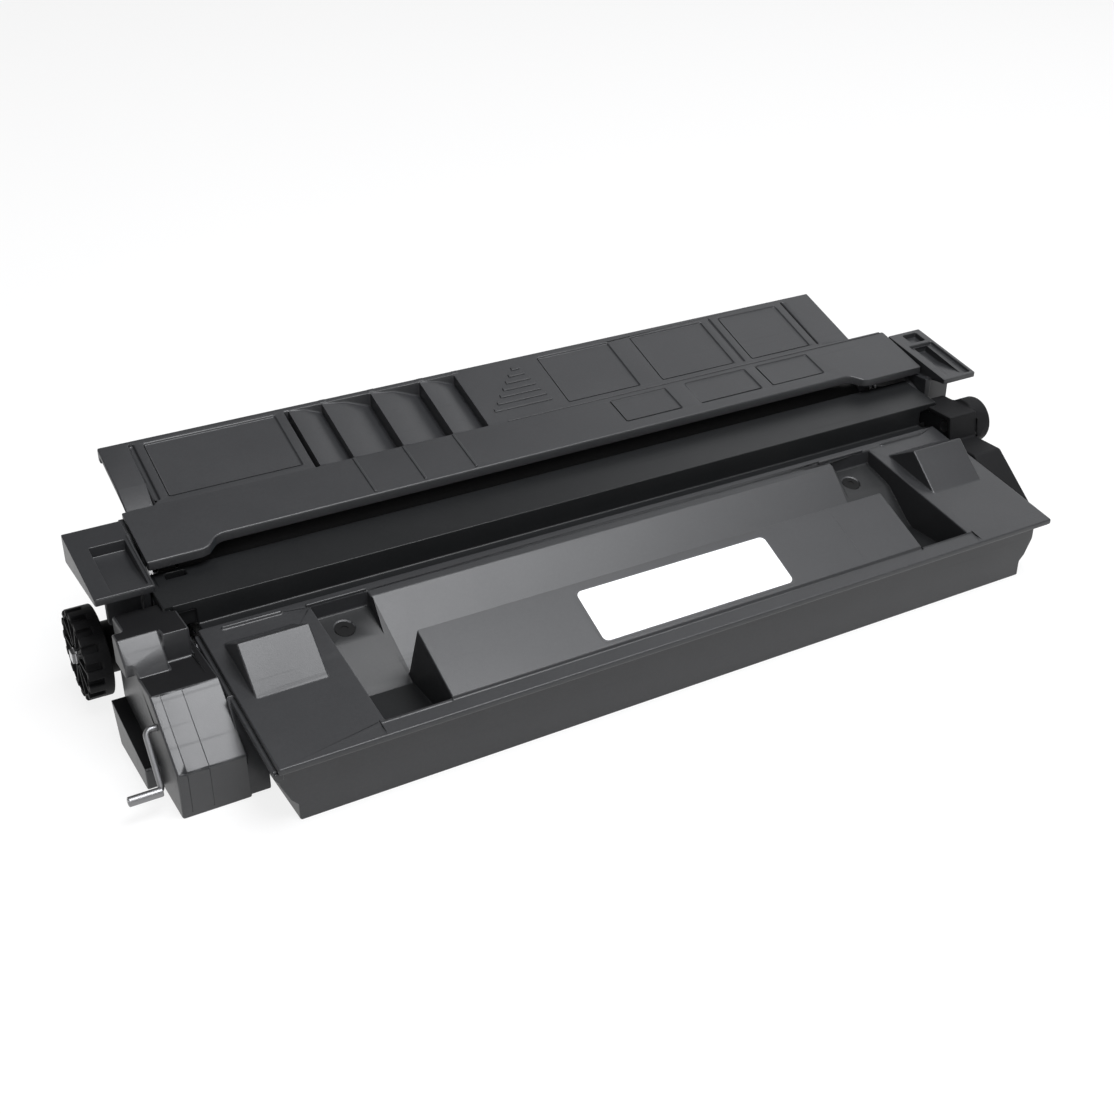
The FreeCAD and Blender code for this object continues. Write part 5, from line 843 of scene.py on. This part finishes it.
def makeSticker(name, grow, lift, thickness):
    bpy.ops.mesh.primitive_plane_add(size=1.0)
    sticker = bpy.context.object
    sticker.name = name
    for vertex in sticker.data.vertices:
        x = (label["halfLength"] + grow) * (1 if vertex.co.x > 0 else -1)
        y = label["backY"] + grow if vertex.co.y > 0 else label["frontY"] - grow
        vertex.co = Vector((x, y, wedgeTop(y) + lift)) * mm
    editAll(sticker)
    bpy.ops.mesh.bevel(offset=label["corner"] * mm, segments=6, affect="VERTICES")
    bpy.ops.mesh.extrude_region_move(TRANSFORM_OT_translate={"value": (0, 0, thickness * mm)})
    bpy.ops.mesh.select_all(action="SELECT")
    bpy.ops.mesh.normals_make_consistent(inside=False)
    leaveEdit()
    return settle(sticker)


adhesive = makeSticker("labelEdge", label["border"], *label["edgeLayer"])
seat(adhesive, "frame", finishes["labelEdge"])
paper = makeSticker("labelPaper", 0.0, *label["paperLayer"])
seat(paper, "frame", finishes["paper"])
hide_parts("hopper_label")
print("label placed")


# floor, light and camera
studio = {
    "floorShade": 0.95, "shadow": 0.17, "worldLevel": 0.25, "backdropTop": 0.16, "backdropBlend": 0.12,
    "key": {"place": (0.20, -0.43, 1.32), "size": (0.95, 0.8), "power": 27.0},
    "side": {"place": (1.15, 0.62, 0.95), "size": (1.1, 1.0), "power": 3.4},
    "fill": {"place": (-0.9, -1.2, 0.7), "size": (0.8, 0.8), "power": 4.0},
    "tint": (0.965, 0.975, 1.0),
}

# the photograph's camera: its focal length is in pixels of a frame 1114 pixels wide
view = {"place": (-0.2865, -0.4551, 0.3201), "tilt": 60.7, "turn": -30.3, "focal": 1553.5, "frame": 1114,
        "sensor": 36.0}


def backgroundShare(tree, mask=None):
    # where the white backdrop is seen: by the camera, and in glossy and clear surfaces
    seen = tree.nodes.new("ShaderNodeLightPath")
    mirrored = addNode(tree, "ShaderNodeMath", operation="MAXIMUM")
    join(tree, seen.outputs["Is Glossy Ray"], mirrored.inputs[0])
    join(tree, seen.outputs["Is Transmission Ray"], mirrored.inputs[1])
    result = mirrored.outputs[0]
    if mask is not None:
        low = addNode(tree, "ShaderNodeMath", operation="MULTIPLY")
        join(tree, result, low.inputs[0])
        join(tree, mask, low.inputs[1])
        result = low.outputs[0]
    share = addNode(tree, "ShaderNodeMath", operation="MAXIMUM")
    join(tree, seen.outputs["Is Camera Ray"], share.inputs[0])
    join(tree, result, share.inputs[1])
    return share.outputs[0]


def makeFloor():
    bpy.ops.mesh.primitive_plane_add(size=8.0, location=(0, 0, 0))
    floor = bpy.context.object
    floor.name = "studioFloor"
    settle(floor)
    material = bpy.data.materials.new("paleFloor")
    material.use_nodes = True
    tree = material.node_tree
    shader = tree.nodes["Principled BSDF"]
    shade = studio["floorShade"]
    shader.inputs["Base Color"].default_value = (shade, shade, shade, 1.0)
    shader.inputs["Roughness"].default_value = 0.9
    glow = addNode(tree, "ShaderNodeEmission", Strength=1.0)
    glow.inputs["Color"].default_value = (1.0, 1.0, 1.0, 1.0)
    share = addNode(tree, "ShaderNodeMath", operation="MULTIPLY")
    share.inputs[1].default_value = 1.0 - studio["shadow"]
    join(tree, backgroundShare(tree), share.inputs[0])
    blend = tree.nodes.new("ShaderNodeMixShader")
    join(tree, share.outputs[0], blend.inputs["Fac"])
    join(tree, shader.outputs["BSDF"], blend.inputs[1])
    join(tree, glow.outputs["Emission"], blend.inputs[2])
    join(tree, blend.outputs["Shader"], tree.nodes["Material Output"].inputs["Surface"])
    floor.data.materials.append(material)


def makeWorld():
    # a white sweep low down all round, and a darker room above it
    world = bpy.data.worlds.new("studioWorld")
    scene.world = world
    world.use_nodes = True
    tree = world.node_tree
    background = tree.nodes["Background"]
    place = tree.nodes.new("ShaderNodeTexCoord")
    split = tree.nodes.new("ShaderNodeSeparateXYZ")
    join(tree, place.outputs["Generated"], split.inputs[0])
    sweep = addNode(tree, "ShaderNodeMapRange")
    sweep.inputs["From Min"].default_value = studio["backdropTop"] + studio["backdropBlend"]
    sweep.inputs["From Max"].default_value = studio["backdropTop"]
    join(tree, split.outputs["Z"], sweep.inputs["Value"])
    level = addNode(tree, "ShaderNodeMapRange")
    level.inputs["To Min"].default_value = studio["worldLevel"]
    level.inputs["To Max"].default_value = 1.0
    join(tree, backgroundShare(tree, sweep.outputs["Result"]), level.inputs["Value"])
    join(tree, level.outputs["Result"], background.inputs["Strength"])
    background.inputs["Color"].default_value = (1.0, 1.0, 1.0, 1.0)


def addPanelLight(name, panel, target=(0, 0, 0.03)):
    bpy.ops.object.light_add(type="AREA", location=panel["place"])
    lamp = bpy.context.object
    lamp.name = name
    lamp.data.shape = "RECTANGLE"
    lamp.data.size, lamp.data.size_y = panel["size"]
    lamp.data.energy = panel["power"]
    lamp.data.color = studio["tint"]
    aim = Vector(target) - Vector(panel["place"])
    lamp.rotation_euler = aim.to_track_quat("-Z", "Y").to_euler()
    return lamp


def addCamera():
    bpy.ops.object.camera_add(location=view["place"],
                              rotation=(math.radians(view["tilt"]), 0.0, math.radians(view["turn"])))
    camera = bpy.context.object
    camera.data.sensor_width = view["sensor"]
    camera.data.lens = view["focal"] / view["frame"] * view["sensor"]
    camera.data.clip_start = 0.01
    scene.camera = camera


makeFloor()
makeWorld()
addPanelLight("overheadSoftbox", studio["key"])
addPanelLight("sideWindow", studio["side"])
addPanelLight("frontFill", studio["fill"])
addCamera()
scene.view_settings.view_transform = "Standard"
print("stage set")
